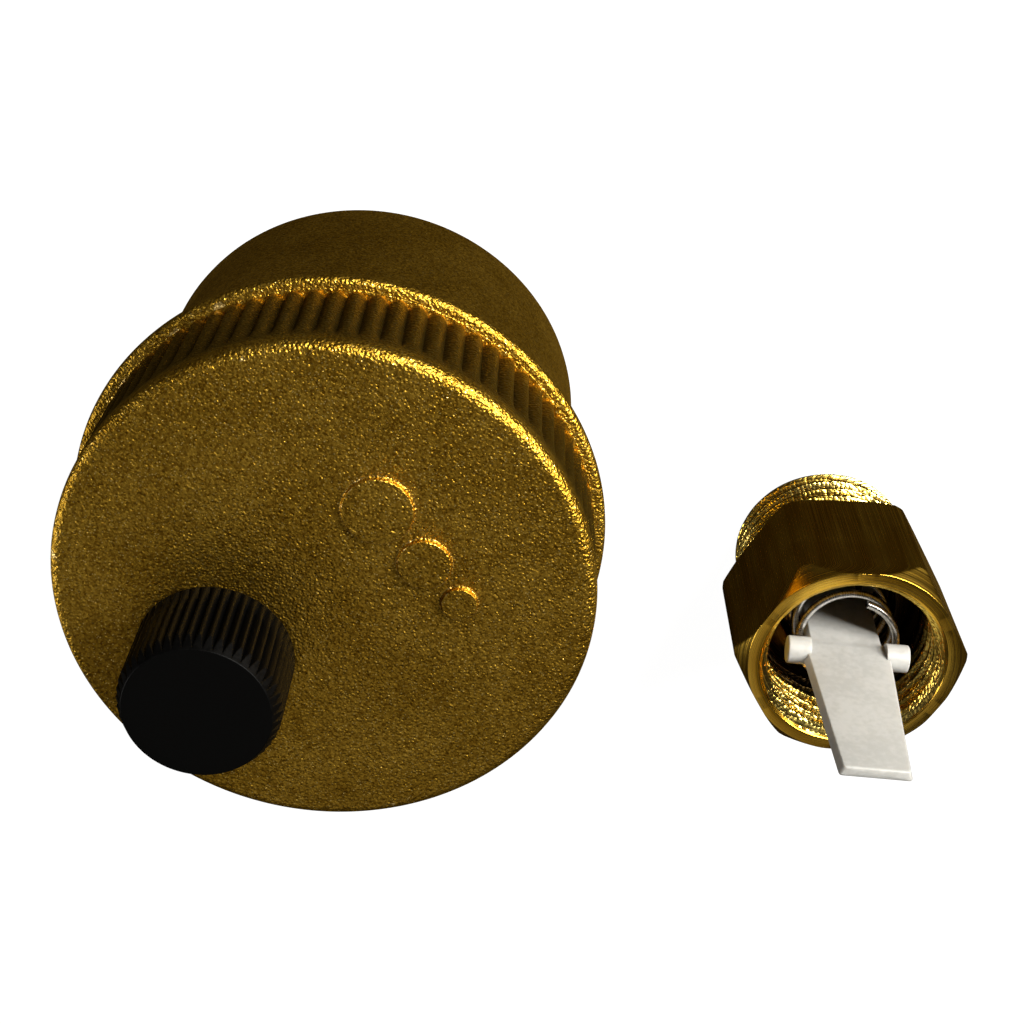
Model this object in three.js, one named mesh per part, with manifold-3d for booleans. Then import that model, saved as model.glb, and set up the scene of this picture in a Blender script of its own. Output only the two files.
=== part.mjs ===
// Automatic air vent and its screw-on shut-off valve, standing side by side.
//
// The vent is a brass float chamber under a screwed cover. Air leaves through a seat in the cover.
// A float hangs in the fork of a lever, and as the water lifts it the lever closes the seat.
// The shut-off valve screws onto the vent's nipple. The nipple's end pushes the valve's two pegs
// down, which opens the valve, and the spring closes it when the vent is taken off.
//
// Millimetres, +Z up. The origin is on the ground, under the middle of the whole set.

import * as THREE from 'three';
import { mergeVertices } from 'three/addons/utils/BufferGeometryUtils.js';
import Module from 'manifold-3d';

const wasm = await Module();
wasm.setup();

// ---------------------------------------------------------------- driving dimensions

const GAP = 0.3; // what touching pieces keep between them

// Where the two stand, both on the X axis.
const SPACING = 61.09; // from the vent's axis to the valve's
const FLANGE_R = 23; // the cover's flange, the widest part of the vent
const VALVE_FLATS = 23; // across the valve's wrench flats
const VENT_X = (SPACING + VALVE_FLATS / 2 - FLANGE_R) / 2;
const VALVE_X = VENT_X - SPACING;

// The G1/2 thread of both pieces, made as its plain major and minor cylinders.
const THREAD_R = 10.48;
const THREAD_MINOR_R = 9.3;
const THREAD_LEAD_IN = 0.6;

// Housing.
const NIPPLE_BORE_R = 6;
const NIPPLE_THREAD_Z = 8.4; // where the nipple's thread ends
const COLLAR_Z = [10.2, 19.5]; // the wrench hexagon
const COLLAR_FLATS = 24;
const CONE_FOOT_R = 14.2;
const SHOULDER_Z = 29; // top of the cone, foot of the straight wall
const HOUSING_R = 20.35;
const CHAMBER_R = 17.2;
const SPIGOT_Z = [53.6, 62]; // the male thread that carries the cover
const SPIGOT_R = 19;

// Cover.
const COVER_Z = [54, 66.5];
const FLANGE_TOP_Z = 55.2;
const BAND_TOP_Z = 64.6;
const CREST_R = 22.05;
const EDGE_R = 1; // radius of the rounded top edge
const FLUTE_DEPTH = 0.6;
const FLUTES = 80;
const CEILING_Z = 64.3;
const SKIRT_R = 19.4; // inside of the skirt
const PAD_HEIGHT = 0.4;
const PADS = [ // three raised round pads: x, y from the vent's axis, radius
  [0.2, -9.3, 2.9],
  [-5.3, -7.1, 2.2],
  [-9.5, -5.45, 1.5],
];

// Outlet, on an axis of its own. Radial is the direction from the vent's axis to it.
const OUTLET_AZIMUTH = THREE.MathUtils.degToRad(61.87);
const OUTLET_R = 10.49;
const NOZZLE_R = 3;
const NOZZLE_TOP_Z = 72.5;
const NOZZLE_FLANGE = { r: 3.8, z: [62.1, 62.9] };
const SEAT = { r: 1.6, z: 61.6 };
const AIR_WAY_R = 0.8;

// Cap.
const CAP_Z = [66.8, 75.2];
const CAP_R = 6.55;
const CAP_TOP_R = 5.87;
const SERRATIONS = 48;
const SERRATION_DEPTH = 0.3;
const CAP_BORE_R = 3.4;

// Lever and float. The lever's pivot is radially outside the outlet.
const PIVOT_R = 14; // from the vent's axis
const PIVOT_Z = 57;
const FLOAT_TRAVEL = 6;
const LEVER_TILT = Math.asin(FLOAT_TRAVEL / 2 / PIVOT_R); // below level at rest, above it when shut
const LEVER_THICK = 0.8;
const PIN_R = 0.75;
const FLOAT_R = 15.5;
const FLOAT_Z = [28, 49];
const NECK_Z = [52.2, 55.8]; // the stretch of the stem that the fork holds

// Shut-off valve.
const VALVE_TOP_Z = 26.4;
const VALVE_HEX_Z = 9.5;
const VALVE_CORNER_R = 13; // the hexagon's corners are turned down to this
const MOUTH_RIM_R = 11.65;
const MOUTH_CHAMFER_R = 10.35;
const SOCKET_FLOOR_Z = 14.5;
const POCKET_R = 6.6; // holds the spring
const WEB_Z = [10, 11.6];
const WEB_HOLE_R = 5.3;
const LOWER_BORE_R = 7.5;

// The valve's shutter. Its wide face looks along BLADE_AZIMUTH + 90 degrees.
const BLADE_AZIMUTH = THREE.MathUtils.degToRad(27.3);
const BLADE_THICK = 1.15;
const BLADE_Z = [6.2, 46.45];
const BLADE_HALF = { tip: 3.72, pegs: 4.9, coil: 4.3, foot: 3.2 };
const BLADE_LEAN = { angle: THREE.MathUtils.degToRad(1.4), z: 7.7 }; // it stands loose in its foot
const PEG = { r: 1.55, reach: 6.75, z: 24.4 };
const SPRING = { r: 5.4, wire: 0.45, z: [11.9, 22.55], turns: 3.6 };

// How finely round things are faceted.
const SIDES = { large: 48, medium: 32, small: 20 };

// ---------------------------------------------------------------- finishes

const FINISHES = {
  blastedBrass: { color: 0x8a6a2c, roughness: 0.55, metalness: 1 },
  machinedBrass: { color: 0xc79a3a, roughness: 0.25, metalness: 1 },
  blackPlastic: { color: 0x0c0c0d, roughness: 0.45, metalness: 0 },
  whitePlastic: { color: 0xe8e6e0, roughness: 0.5, metalness: 0 },
  floatPlastic: { color: 0xd9d6c9, roughness: 0.5, metalness: 0 },
  steel: { color: 0xb9b9b6, roughness: 0.3, metalness: 1 },
  rubber: { color: 0x1c1c1c, roughness: 0.8, metalness: 0 },
  fibre: { color: 0x7c3a2a, roughness: 0.9, metalness: 0 },
};

// ---------------------------------------------------------------- shape helpers

// A solid of revolution about Z. Profile points are [radius, height], outside first going up.
function turned(profile, sides = SIDES.medium) {
  const points = profile.map(([r, z]) => new THREE.Vector2(r, z));
  return new THREE.LatheGeometry(points, sides).rotateX(Math.PI / 2);
}

// A washer or plain ring.
function ring(inner, outer, [bottom, top], sides) {
  return turned([[inner, bottom], [outer, bottom], [outer, top], [inner, top], [inner, bottom]], sides);
}

// A plain round rod along Z.
function rod(r, [bottom, top], sides = SIDES.small) {
  const geometry = new THREE.CylinderGeometry(r, r, top - bottom, sides).rotateX(Math.PI / 2);
  return geometry.translate(0, 0, (bottom + top) / 2);
}

// A plain round rod along Y, centred on the origin.
function crossRod(r, length, sides = SIDES.small) {
  return new THREE.CylinderGeometry(r, r, length, sides);
}

// A hexagonal prism with two of its flats facing along X.
function hexagon(flats, [bottom, top]) {
  const cornerR = flats / Math.sqrt(3);
  const geometry = new THREE.CylinderGeometry(cornerR, cornerR, top - bottom, 6);
  return geometry.rotateX(Math.PI / 2).translate(0, 0, (bottom + top) / 2);
}

// A box from its three spans.
function block([x0, x1], [y0, y1], [z0, z1]) {
  const geometry = new THREE.BoxGeometry(x1 - x0, y1 - y0, z1 - z0);
  return geometry.translate((x0 + x1) / 2, (y0 + y1) / 2, (z0 + z1) / 2);
}

// A prism on a ridged outline that steps between crest and root once for each ridge.
function ridged(crest, root, ridges, [bottom, top]) {
  const outline = Array.from({ length: 2 * ridges }, (_, i) => {
    const angle = (Math.PI * i) / ridges;
    const r = i % 2 ? root : crest;
    return new THREE.Vector2(r * Math.cos(angle), r * Math.sin(angle));
  });
  const options = { depth: top - bottom, bevelEnabled: false };
  return new THREE.ExtrudeGeometry(new THREE.Shape(outline), options).translate(0, 0, bottom);
}

// The centre line of a coil spring that stands on Z.
class Helix extends THREE.Curve {
  constructor(r, [bottom, top], turns) {
    super();
    Object.assign(this, { r, bottom, top, turns });
  }

  getPoint(t, target = new THREE.Vector3()) {
    const angle = 2 * Math.PI * this.turns * t;
    const z = THREE.MathUtils.lerp(this.bottom, this.top, t);
    return target.set(this.r * Math.cos(angle), this.r * Math.sin(angle), z);
  }
}

// A coil spring of round wire that fills the given span of height.
function coil({ r, wire, z: [bottom, top], turns }, stepsPerTurn, wireSides) {
  const section = Array.from({ length: wireSides }, (_, i) => {
    const angle = (2 * Math.PI * i) / wireSides;
    return new THREE.Vector2(wire * Math.cos(angle), wire * Math.sin(angle));
  });
  const extrudePath = new Helix(r, [bottom + wire, top - wire], turns);
  const steps = Math.round(turns * stepsPerTurn);
  return new THREE.ExtrudeGeometry(new THREE.Shape(section), { steps, extrudePath });
}

// A round rubber ring of round section, lying flat.
function toroid(r, section, z, sides = SIDES.medium) {
  return new THREE.TorusGeometry(r, section, 8, sides).translate(0, 0, z);
}

// Geometry to a solid that can be joined and cut, and back again.
function solid(geometry) {
  const bare = geometry.clone();
  bare.deleteAttribute('normal');
  bare.deleteAttribute('uv');
  const merged = mergeVertices(bare, 1e-4);
  const mesh = new wasm.Mesh({
    numProp: 3,
    vertProperties: merged.attributes.position.array,
    triVerts: new Uint32Array(merged.index.array),
  });
  return new wasm.Manifold(mesh);
}

function geometryOf(manifold) {
  const { vertProperties, triVerts } = manifold.getMesh();
  const geometry = new THREE.BufferGeometry();
  geometry.setAttribute('position', new THREE.BufferAttribute(vertProperties, 3));
  geometry.setIndex(new THREE.BufferAttribute(triVerts, 1));
  geometry.computeVertexNormals();
  return geometry;
}

function joined(...geometries) {
  return geometryOf(geometries.map(solid).reduce((sum, next) => sum.add(next)));
}

function cut(geometry, ...tools) {
  return geometryOf(tools.map(solid).reduce((rest, tool) => rest.subtract(tool), solid(geometry)));
}

function common(a, b) {
  return geometryOf(solid(a).intersect(solid(b)));
}

// ---------------------------------------------------------------- groups

const set = new THREE.Group();

const vent = new THREE.Group();
vent.position.x = VENT_X;
set.add(vent);

// In this group X runs from the vent's axis outwards through the outlet.
const mechanism = new THREE.Group();
mechanism.rotation.z = OUTLET_AZIMUTH;
vent.add(mechanism);

// In this group the outlet's axis is Z.
const outlet = new THREE.Group();
outlet.position.x = OUTLET_R;
mechanism.add(outlet);

const valve = new THREE.Group();
valve.position.x = VALVE_X;
set.add(valve);

// In this group X runs across the blade's width.
const shutter = new THREE.Group();
shutter.rotation.z = BLADE_AZIMUTH;
valve.add(shutter);

function addPiece(group, name, finish, geometry) {
  const mesh = new THREE.Mesh(geometry, new THREE.MeshStandardMaterial(FINISHES[finish]));
  mesh.name = name;
  group.add(mesh);
  return mesh;
}

// ---------------------------------------------------------------- vent: housing

function housing() {
  const neckR = THREAD_MINOR_R;
  const collarCoreR = COLLAR_FLATS / 2 - 0.4;
  const funnelZ = [17, 20];
  const funnelR = 11.5;
  const body = turned([
    [NIPPLE_BORE_R, 0],
    [THREAD_R - THREAD_LEAD_IN, 0],
    [THREAD_R, THREAD_LEAD_IN],
    [THREAD_R, NIPPLE_THREAD_Z - 0.4],
    [neckR, NIPPLE_THREAD_Z],
    [neckR, COLLAR_Z[0]],
    [collarCoreR, COLLAR_Z[0]],
    [collarCoreR, COLLAR_Z[1]],
    [CONE_FOOT_R, COLLAR_Z[1]],
    [HOUSING_R, SHOULDER_Z],
    [HOUSING_R, SPIGOT_Z[0]],
    [SPIGOT_R, SPIGOT_Z[0]],
    [SPIGOT_R, SPIGOT_Z[1] - 0.5],
    [SPIGOT_R - 0.5, SPIGOT_Z[1]],
    [CHAMBER_R, SPIGOT_Z[1]],
    [CHAMBER_R, SHOULDER_Z],
    [funnelR, funnelZ[1]],
    [NIPPLE_BORE_R, funnelZ[0]],
    [NIPPLE_BORE_R, 0],
  ], SIDES.large);
  const collar = cut(hexagon(COLLAR_FLATS, COLLAR_Z), rod(collarCoreR - 0.5, [0, 30], SIDES.large));
  return joined(body, collar);
}

addPiece(vent, 'housing', 'blastedBrass', housing());

// The sealing washer lies in the groove between the nipple's thread and the hexagon.
const washerR = [THREAD_MINOR_R + GAP, COLLAR_FLATS / 2 - 0.2];
const washerZ = [NIPPLE_THREAD_Z + 0.2, COLLAR_Z[0] - GAP];
addPiece(vent, 'nipple_washer', 'fibre', ring(...washerR, washerZ, SIDES.medium));

// ---------------------------------------------------------------- vent: cover

function cover() {
  const bandRootR = CREST_R - FLUTE_DEPTH;
  const corner = Array.from({ length: 5 }, (_, i) => {
    const angle = (Math.PI / 2) * (i / 4);
    return [CREST_R - EDGE_R + EDGE_R * Math.cos(angle), COVER_Z[1] - EDGE_R + EDGE_R * Math.sin(angle)];
  });
  const shell = turned([
    [SKIRT_R, COVER_Z[0]],
    [FLANGE_R, COVER_Z[0]],
    [FLANGE_R, FLANGE_TOP_Z],
    [bandRootR, FLANGE_TOP_Z],
    [bandRootR, BAND_TOP_Z - 0.3],
    ...corner,
    [0, COVER_Z[1]],
    [0, CEILING_Z],
    [SKIRT_R, CEILING_Z],
    [SKIRT_R, COVER_Z[0]],
  ], SIDES.large);
  const band = cut(
    ridged(CREST_R, bandRootR, FLUTES, [FLANGE_TOP_Z - 0.5, BAND_TOP_Z]),
    rod(bandRootR - 0.5, [0, COVER_Z[1]], SIDES.large),
  );
  const pads = PADS.map(([x, y, r]) =>
    rod(r, [COVER_Z[1] - 0.5, COVER_Z[1] + PAD_HEIGHT]).translate(x, y, 0));
  const outletTools = [
    rod(NOZZLE_R + GAP, [CEILING_Z - 1, COVER_Z[1] + 1]),
    rod(4.4, [CEILING_Z - 1, CEILING_Z + 1.3]),
  ].map((tool) => tool.translate(OUTLET_R, 0, 0).rotateZ(OUTLET_AZIMUTH));
  return cut(joined(shell, band, ...pads), ...outletTools);
}

addPiece(vent, 'cover', 'blastedBrass', cover());

// The flat seal between the spigot's rim and the cover's ceiling.
const sealR = [CHAMBER_R + 0.2, SPIGOT_R - 0.1];
addPiece(vent, 'cover_seal', 'rubber', ring(...sealR, [SPIGOT_Z[1] + GAP, CEILING_Z - GAP], SIDES.large));

// ---------------------------------------------------------------- vent: outlet and cap

// Flange below, threaded stub above. The air way narrows to the seat at its lower end.
addPiece(outlet, 'outlet_nozzle', 'machinedBrass', turned([
  [AIR_WAY_R, SEAT.z],
  [SEAT.r, SEAT.z],
  [SEAT.r, NOZZLE_FLANGE.z[0]],
  [NOZZLE_FLANGE.r, NOZZLE_FLANGE.z[0]],
  [NOZZLE_FLANGE.r, NOZZLE_FLANGE.z[1]],
  [NOZZLE_R, NOZZLE_FLANGE.z[1]],
  [NOZZLE_R, NOZZLE_TOP_Z - 0.5],
  [NOZZLE_R - 0.5, NOZZLE_TOP_Z],
  [2 * AIR_WAY_R, NOZZLE_TOP_Z],
  [2 * AIR_WAY_R, CEILING_Z],
  [AIR_WAY_R, CEILING_Z - 1],
  [AIR_WAY_R, SEAT.z],
], SIDES.small));

addPiece(outlet, 'nozzle_o_ring', 'rubber', toroid(3.75, 0.4, CEILING_Z + 0.65, SIDES.small));

function cap() {
  const chamferZ = CAP_Z[1] - 1.1;
  const counterbore = { r: 5.8, top: CAP_Z[0] + 1.4 };
  const core = turned([
    [0, CAP_Z[0]],
    [CAP_R - SERRATION_DEPTH, CAP_Z[0]],
    [CAP_R - SERRATION_DEPTH, chamferZ],
    [CAP_TOP_R, CAP_Z[1]],
    [0, CAP_Z[1]],
  ]);
  const grip = ridged(CAP_R, CAP_R - SERRATION_DEPTH, SERRATIONS, [CAP_Z[0], chamferZ]);
  return cut(
    joined(core, grip),
    rod(counterbore.r, [CAP_Z[0] - 1, counterbore.top], SIDES.medium),
    rod(CAP_BORE_R, [CAP_Z[0] - 1, NOZZLE_TOP_Z + 0.7]),
  );
}

addPiece(outlet, 'cap', 'blackPlastic', cap());
addPiece(outlet, 'cap_seal', 'rubber', ring(NOZZLE_R + 0.5, 5.4, [CAP_Z[0], CAP_Z[0] + 1], SIDES.small));

// ---------------------------------------------------------------- vent: float gear

// A plate clamped under the cover by the nozzle, with two ears that carry the pivot pin.
function bracket() {
  const plateZ = [NOZZLE_FLANGE.z[1] + GAP, CEILING_Z - GAP];
  const earX = [PIVOT_R - 1.2, PIVOT_R + 1.2];
  const earY = [3.4, 4.3];
  const earZ = [PIVOT_Z - 1.4, plateZ[1]];
  return cut(
    joined(
      block([OUTLET_R - 4.1, earX[1]], [-earY[1], earY[1]], plateZ),
      block(earX, earY, earZ),
      block(earX, [-earY[1], -earY[0]], earZ),
    ),
    rod(NOZZLE_R + GAP, [plateZ[0] - 1, plateZ[1] + 1]).translate(OUTLET_R, 0, 0),
    crossRod(PIN_R + 0.07, 12).translate(PIVOT_R, 0, PIVOT_Z),
  );
}

addPiece(mechanism, 'bracket', 'steel', bracket());

const pivotPin = addPiece(mechanism, 'pivot_pin', 'steel', crossRod(PIN_R, 9.4));
pivotPin.position.set(PIVOT_R, 0, PIVOT_Z);

// Made level, with the eye at the origin and the fork towards -X, then tilted into place.
function lever() {
  const half = 2;
  const forkHalf = 2.9;
  const forkX = 12.4; // root of the fork's slot
  const endX = 16.4;
  const slotHalf = 1.4;
  const outline = new THREE.Shape([
    [-0.8, -half],
    [-0.8, half],
    [-forkX + 1.2, half],
    [-forkX, forkHalf],
    [-endX, forkHalf],
    [-endX, slotHalf],
    [-forkX, slotHalf],
    [-forkX, -slotHalf],
    [-endX, -slotHalf],
    [-endX, -forkHalf],
    [-forkX, -forkHalf],
    [-forkX + 1.2, -half],
  ].map(([x, y]) => new THREE.Vector2(x, y)));
  const strip = new THREE.ExtrudeGeometry(outline, { depth: LEVER_THICK, bevelEnabled: false });
  strip.translate(0, 0, -LEVER_THICK / 2);
  const stemHole = rod(1.15, [-2, 2]).translate(OUTLET_R - PIVOT_R, 0, 0);
  const eye = crossRod(1.3, 5.8);
  return cut(joined(strip, eye), stemHole, crossRod(PIN_R + 0.08, 8));
}

const leverPiece = addPiece(mechanism, 'lever', 'steel', lever());
leverPiece.position.set(PIVOT_R, 0, PIVOT_Z);
leverPiece.rotation.y = -LEVER_TILT;

// The stem hangs in the lever's hole, and the lever's face lifts the shoulder.
const shoulderZ = [57.2, 58];
const plateTopZ = 58.5;
addPiece(outlet, 'obturator_pin', 'machinedBrass', turned([
  [0, 54.6],
  [0.8, 54.6],
  [0.8, shoulderZ[0]],
  [1.6, shoulderZ[0]],
  [1.6, shoulderZ[1]],
  [2.3, shoulderZ[1]],
  [2.3, plateTopZ],
  [0, plateTopZ],
], SIDES.small));

const OBTURATOR_TRAVEL = (FLOAT_TRAVEL * (PIVOT_R - OUTLET_R)) / PIVOT_R;
const sealTopZ = SEAT.z - OBTURATOR_TRAVEL - 0.1;
addPiece(outlet, 'obturator_seal', 'rubber', rod(1.5, [plateTopZ + GAP, sealTopZ]));

const openingSpring = { r: 2.1, wire: 0.16, z: [plateTopZ + GAP, NOZZLE_FLANGE.z[0] - GAP], turns: 3.5 };
addPiece(outlet, 'obturator_spring', 'steel', coil(openingSpring, 14, 6));

// A bell, open below, with a boss in its roof for the stem.
const FLOAT_WALL = 1.3;
addPiece(vent, 'float', 'floatPlastic', turned([
  [FLOAT_R - FLOAT_WALL, FLOAT_Z[0]],
  [FLOAT_R - 0.6, FLOAT_Z[0]],
  [FLOAT_R, FLOAT_Z[0] + 0.6],
  [FLOAT_R, FLOAT_Z[1] - 1],
  [FLOAT_R - 1, FLOAT_Z[1]],
  [1.6, FLOAT_Z[1]],
  [1.6, FLOAT_Z[1] - 3],
  [3.2, FLOAT_Z[1] - 3],
  [3.2, FLOAT_Z[1] - FLOAT_WALL],
  [FLOAT_R - FLOAT_WALL, FLOAT_Z[1] - FLOAT_WALL],
  [FLOAT_R - FLOAT_WALL, FLOAT_Z[0]],
], SIDES.large));

addPiece(vent, 'float_stem', 'floatPlastic', turned([
  [0, FLOAT_Z[1] - 2.4],
  [1.3, FLOAT_Z[1] - 2.4],
  [1.3, FLOAT_Z[1] + GAP],
  [2.6, FLOAT_Z[1] + GAP],
  [2.6, NECK_Z[0]],
  [1, NECK_Z[0]],
  [1, NECK_Z[1]],
  [2.4, NECK_Z[1]],
  [2.4, NECK_Z[1] + 1.4],
  [0, NECK_Z[1] + 1.4],
], SIDES.small));

// ---------------------------------------------------------------- shut-off valve

function valveBody() {
  const corners = turned([
    [0, VALVE_HEX_Z],
    [VALVE_CORNER_R - 0.8, VALVE_HEX_Z],
    [VALVE_CORNER_R, VALVE_HEX_Z + 0.6],
    [VALVE_CORNER_R, VALVE_TOP_Z - 2],
    [MOUTH_RIM_R, VALVE_TOP_Z],
    [0, VALVE_TOP_Z],
  ], SIDES.large);
  const head = common(hexagon(VALVE_FLATS, [VALVE_HEX_Z, VALVE_TOP_Z]), corners);
  const end = turned([
    [0, 0],
    [THREAD_R - THREAD_LEAD_IN, 0],
    [THREAD_R, THREAD_LEAD_IN],
    [THREAD_R, VALVE_HEX_Z + 0.5],
    [0, VALVE_HEX_Z + 0.5],
  ], SIDES.large);
  const mouthZ = VALVE_TOP_Z - (MOUTH_CHAMFER_R - THREAD_MINOR_R);
  const bore = turned([
    [0, -1],
    [LOWER_BORE_R, -1],
    [LOWER_BORE_R, WEB_Z[0]],
    [WEB_HOLE_R, WEB_Z[0]],
    [WEB_HOLE_R, WEB_Z[1]],
    [POCKET_R, WEB_Z[1]],
    [POCKET_R, SOCKET_FLOOR_Z],
    [THREAD_MINOR_R, SOCKET_FLOOR_Z],
    [THREAD_MINOR_R, mouthZ],
    [MOUTH_CHAMFER_R, VALVE_TOP_Z],
    [MOUTH_CHAMFER_R, VALVE_TOP_Z + 1],
    [0, VALVE_TOP_Z + 1],
  ], SIDES.large);
  return cut(joined(head, end), bore);
}

addPiece(valve, 'valve_body', 'machinedBrass', valveBody());

// The spring stands on the web and pushes the pegs up.
addPiece(valve, 'shutter_spring', 'steel', coil(SPRING, 20, 6));

// A flat blade, drawn in its own plane and stood up, with a round peg on each edge.
function blade() {
  const rightEdge = [
    [BLADE_HALF.foot, BLADE_Z[0]],
    [BLADE_HALF.foot, WEB_Z[1] - 0.7],
    [BLADE_HALF.coil, WEB_Z[1]],
    [BLADE_HALF.coil, PEG.z - PEG.r],
    [BLADE_HALF.pegs, PEG.z - PEG.r + 0.5],
    [BLADE_HALF.pegs, PEG.z + PEG.r],
    [BLADE_HALF.tip, BLADE_Z[1]],
  ];
  const leftEdge = rightEdge.map(([x, z]) => [-x, z]).reverse();
  const outline = new THREE.Shape([...rightEdge, ...leftEdge].map(([x, z]) => new THREE.Vector2(x, z)));
  const plate = new THREE.ExtrudeGeometry(outline, { depth: BLADE_THICK, bevelEnabled: false });
  plate.translate(0, 0, -BLADE_THICK / 2).rotateX(Math.PI / 2);
  const pegs = [-1, 1].map((side) => {
    const inner = BLADE_HALF.coil - 0.5;
    const peg = new THREE.CylinderGeometry(PEG.r, PEG.r, PEG.reach - inner, SIDES.small);
    return peg.rotateZ(Math.PI / 2).translate((side * (PEG.reach + inner)) / 2, 0, PEG.z);
  });
  return joined(plate, ...pegs)
    .translate(0, 0, -BLADE_LEAN.z)
    .rotateY(BLADE_LEAN.angle)
    .translate(0, 0, BLADE_LEAN.z);
}

addPiece(shutter, 'shutter_blade', 'whitePlastic', blade());

// A disc with a boss that enters the web's hole. The blade's lower end stands in its slot.
const O_RING = { r: 5.95, section: 0.6, z: WEB_Z[0] - GAP - 0.6 };

function foot() {
  const discZ = [BLADE_Z[0] + 0.2, O_RING.z - O_RING.section - GAP];
  const bossR = WEB_HOLE_R - GAP;
  const disc = turned([
    [0, discZ[0]],
    [6.8, discZ[0]],
    [6.8, discZ[1]],
    [bossR, discZ[1]],
    [bossR, WEB_Z[1] - 1],
    [0, WEB_Z[1] - 1],
  ]);
  const slot = [[-BLADE_HALF.foot - GAP, BLADE_HALF.foot + GAP], [-BLADE_THICK / 2 - GAP, BLADE_THICK / 2 + GAP]];
  return cut(disc, block(...slot, [0, WEB_Z[1]]));
}

addPiece(shutter, 'shutter_foot', 'whitePlastic', foot());
addPiece(shutter, 'shutter_o_ring', 'rubber', toroid(O_RING.r, O_RING.section, O_RING.z));

export default set;
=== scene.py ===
"""Automatic air vent and its screw-on shut-off valve, standing side by side on a pale floor.

Sizes here are millimetres unless a name says otherwise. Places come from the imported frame. Each piece
is a grid of points: a ring of points for each step along a profile or a path.
"""

import math
from types import SimpleNamespace

import bpy
import numpy as np
from mathutils import Matrix, Vector


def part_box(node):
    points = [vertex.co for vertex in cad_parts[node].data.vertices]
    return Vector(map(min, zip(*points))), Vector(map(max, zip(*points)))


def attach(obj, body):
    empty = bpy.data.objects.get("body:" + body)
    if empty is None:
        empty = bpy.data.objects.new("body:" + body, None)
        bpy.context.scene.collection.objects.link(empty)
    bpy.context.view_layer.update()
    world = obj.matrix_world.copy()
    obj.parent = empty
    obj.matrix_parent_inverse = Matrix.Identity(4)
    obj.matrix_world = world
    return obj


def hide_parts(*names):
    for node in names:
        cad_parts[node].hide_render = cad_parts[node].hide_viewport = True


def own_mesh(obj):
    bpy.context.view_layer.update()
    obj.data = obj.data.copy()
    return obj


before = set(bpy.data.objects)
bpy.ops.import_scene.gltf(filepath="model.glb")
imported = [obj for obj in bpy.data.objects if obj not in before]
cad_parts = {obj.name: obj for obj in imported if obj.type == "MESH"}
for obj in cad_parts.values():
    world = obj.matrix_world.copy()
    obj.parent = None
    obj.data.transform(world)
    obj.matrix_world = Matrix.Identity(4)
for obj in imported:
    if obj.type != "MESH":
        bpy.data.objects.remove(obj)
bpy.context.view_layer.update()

MM = 0.001
TURN = 2 * math.pi


# ------------------------------------------------------------------ places and sizes from the frame

def measured(node):
    """A CAD node's box in millimetres: its middle x and y, its radius across x, and its bottom and top."""
    low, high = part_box(node)
    return SimpleNamespace(
        x=(low.x + high.x) / 2 / MM,
        y=(low.y + high.y) / 2 / MM,
        r=(high.x - low.x) / 2 / MM,
        bottom=low.z / MM,
        top=high.z / MM,
    )


HOUSING = measured("housing")
COVER = measured("cover")
CAP = measured("cap")
CAP_WASHER = measured("cap_seal")
COVER_WASHER = measured("cover_seal")
NOZZLE = measured("outlet_nozzle")
OUTLET_RING = measured("nozzle_o_ring")
NIPPLE_RING = measured("nipple_washer")
PIVOT = measured("pivot_pin")
STEM = measured("obturator_pin")
SEAT_DISC = measured("obturator_seal")
SEAT_SPRING = measured("obturator_spring")
FLOAT = measured("float")
HOOK = measured("float_stem")
VALVE = measured("valve_body")
COIL = measured("shutter_spring")
BLADE = measured("shutter_blade")
FOOT = measured("shutter_foot")
FOOT_RING = measured("shutter_o_ring")

PAD_HEIGHT = 0.4
COVER_TOP = COVER.top - PAD_HEIGHT
OUTLET = np.array([CAP.x - COVER.x, CAP.y - COVER.y])  # from the vent's axis to the outlet's
OUTLET_OUT = OUTLET / np.linalg.norm(OUTLET)
OUTLET_SIDE = np.array([-OUTLET_OUT[1], OUTLET_OUT[0]])

G_HALF = SimpleNamespace(major=10.48, minor=9.3, pitch=1.814)  # the pipe thread of both pieces
LEAD_IN = 0.6  # the bevel on a threaded end
PLATE_EDGE = 0.08  # how much a pressed plate's edges are eased


# ------------------------------------------------------------------ curves and profiles

def smooth(t):
    """0 below 0, 1 above 1 and an S-shaped cubic between."""
    t = np.clip(t, 0, 1)
    return t * t * (3 - 2 * t)


def soft_min(a, b, blend):
    """The smaller of a and b, with the crease between them rounded over about the blend width."""
    return (a + b - np.sqrt((a - b) ** 2 + blend ** 2)) / 2


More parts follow.
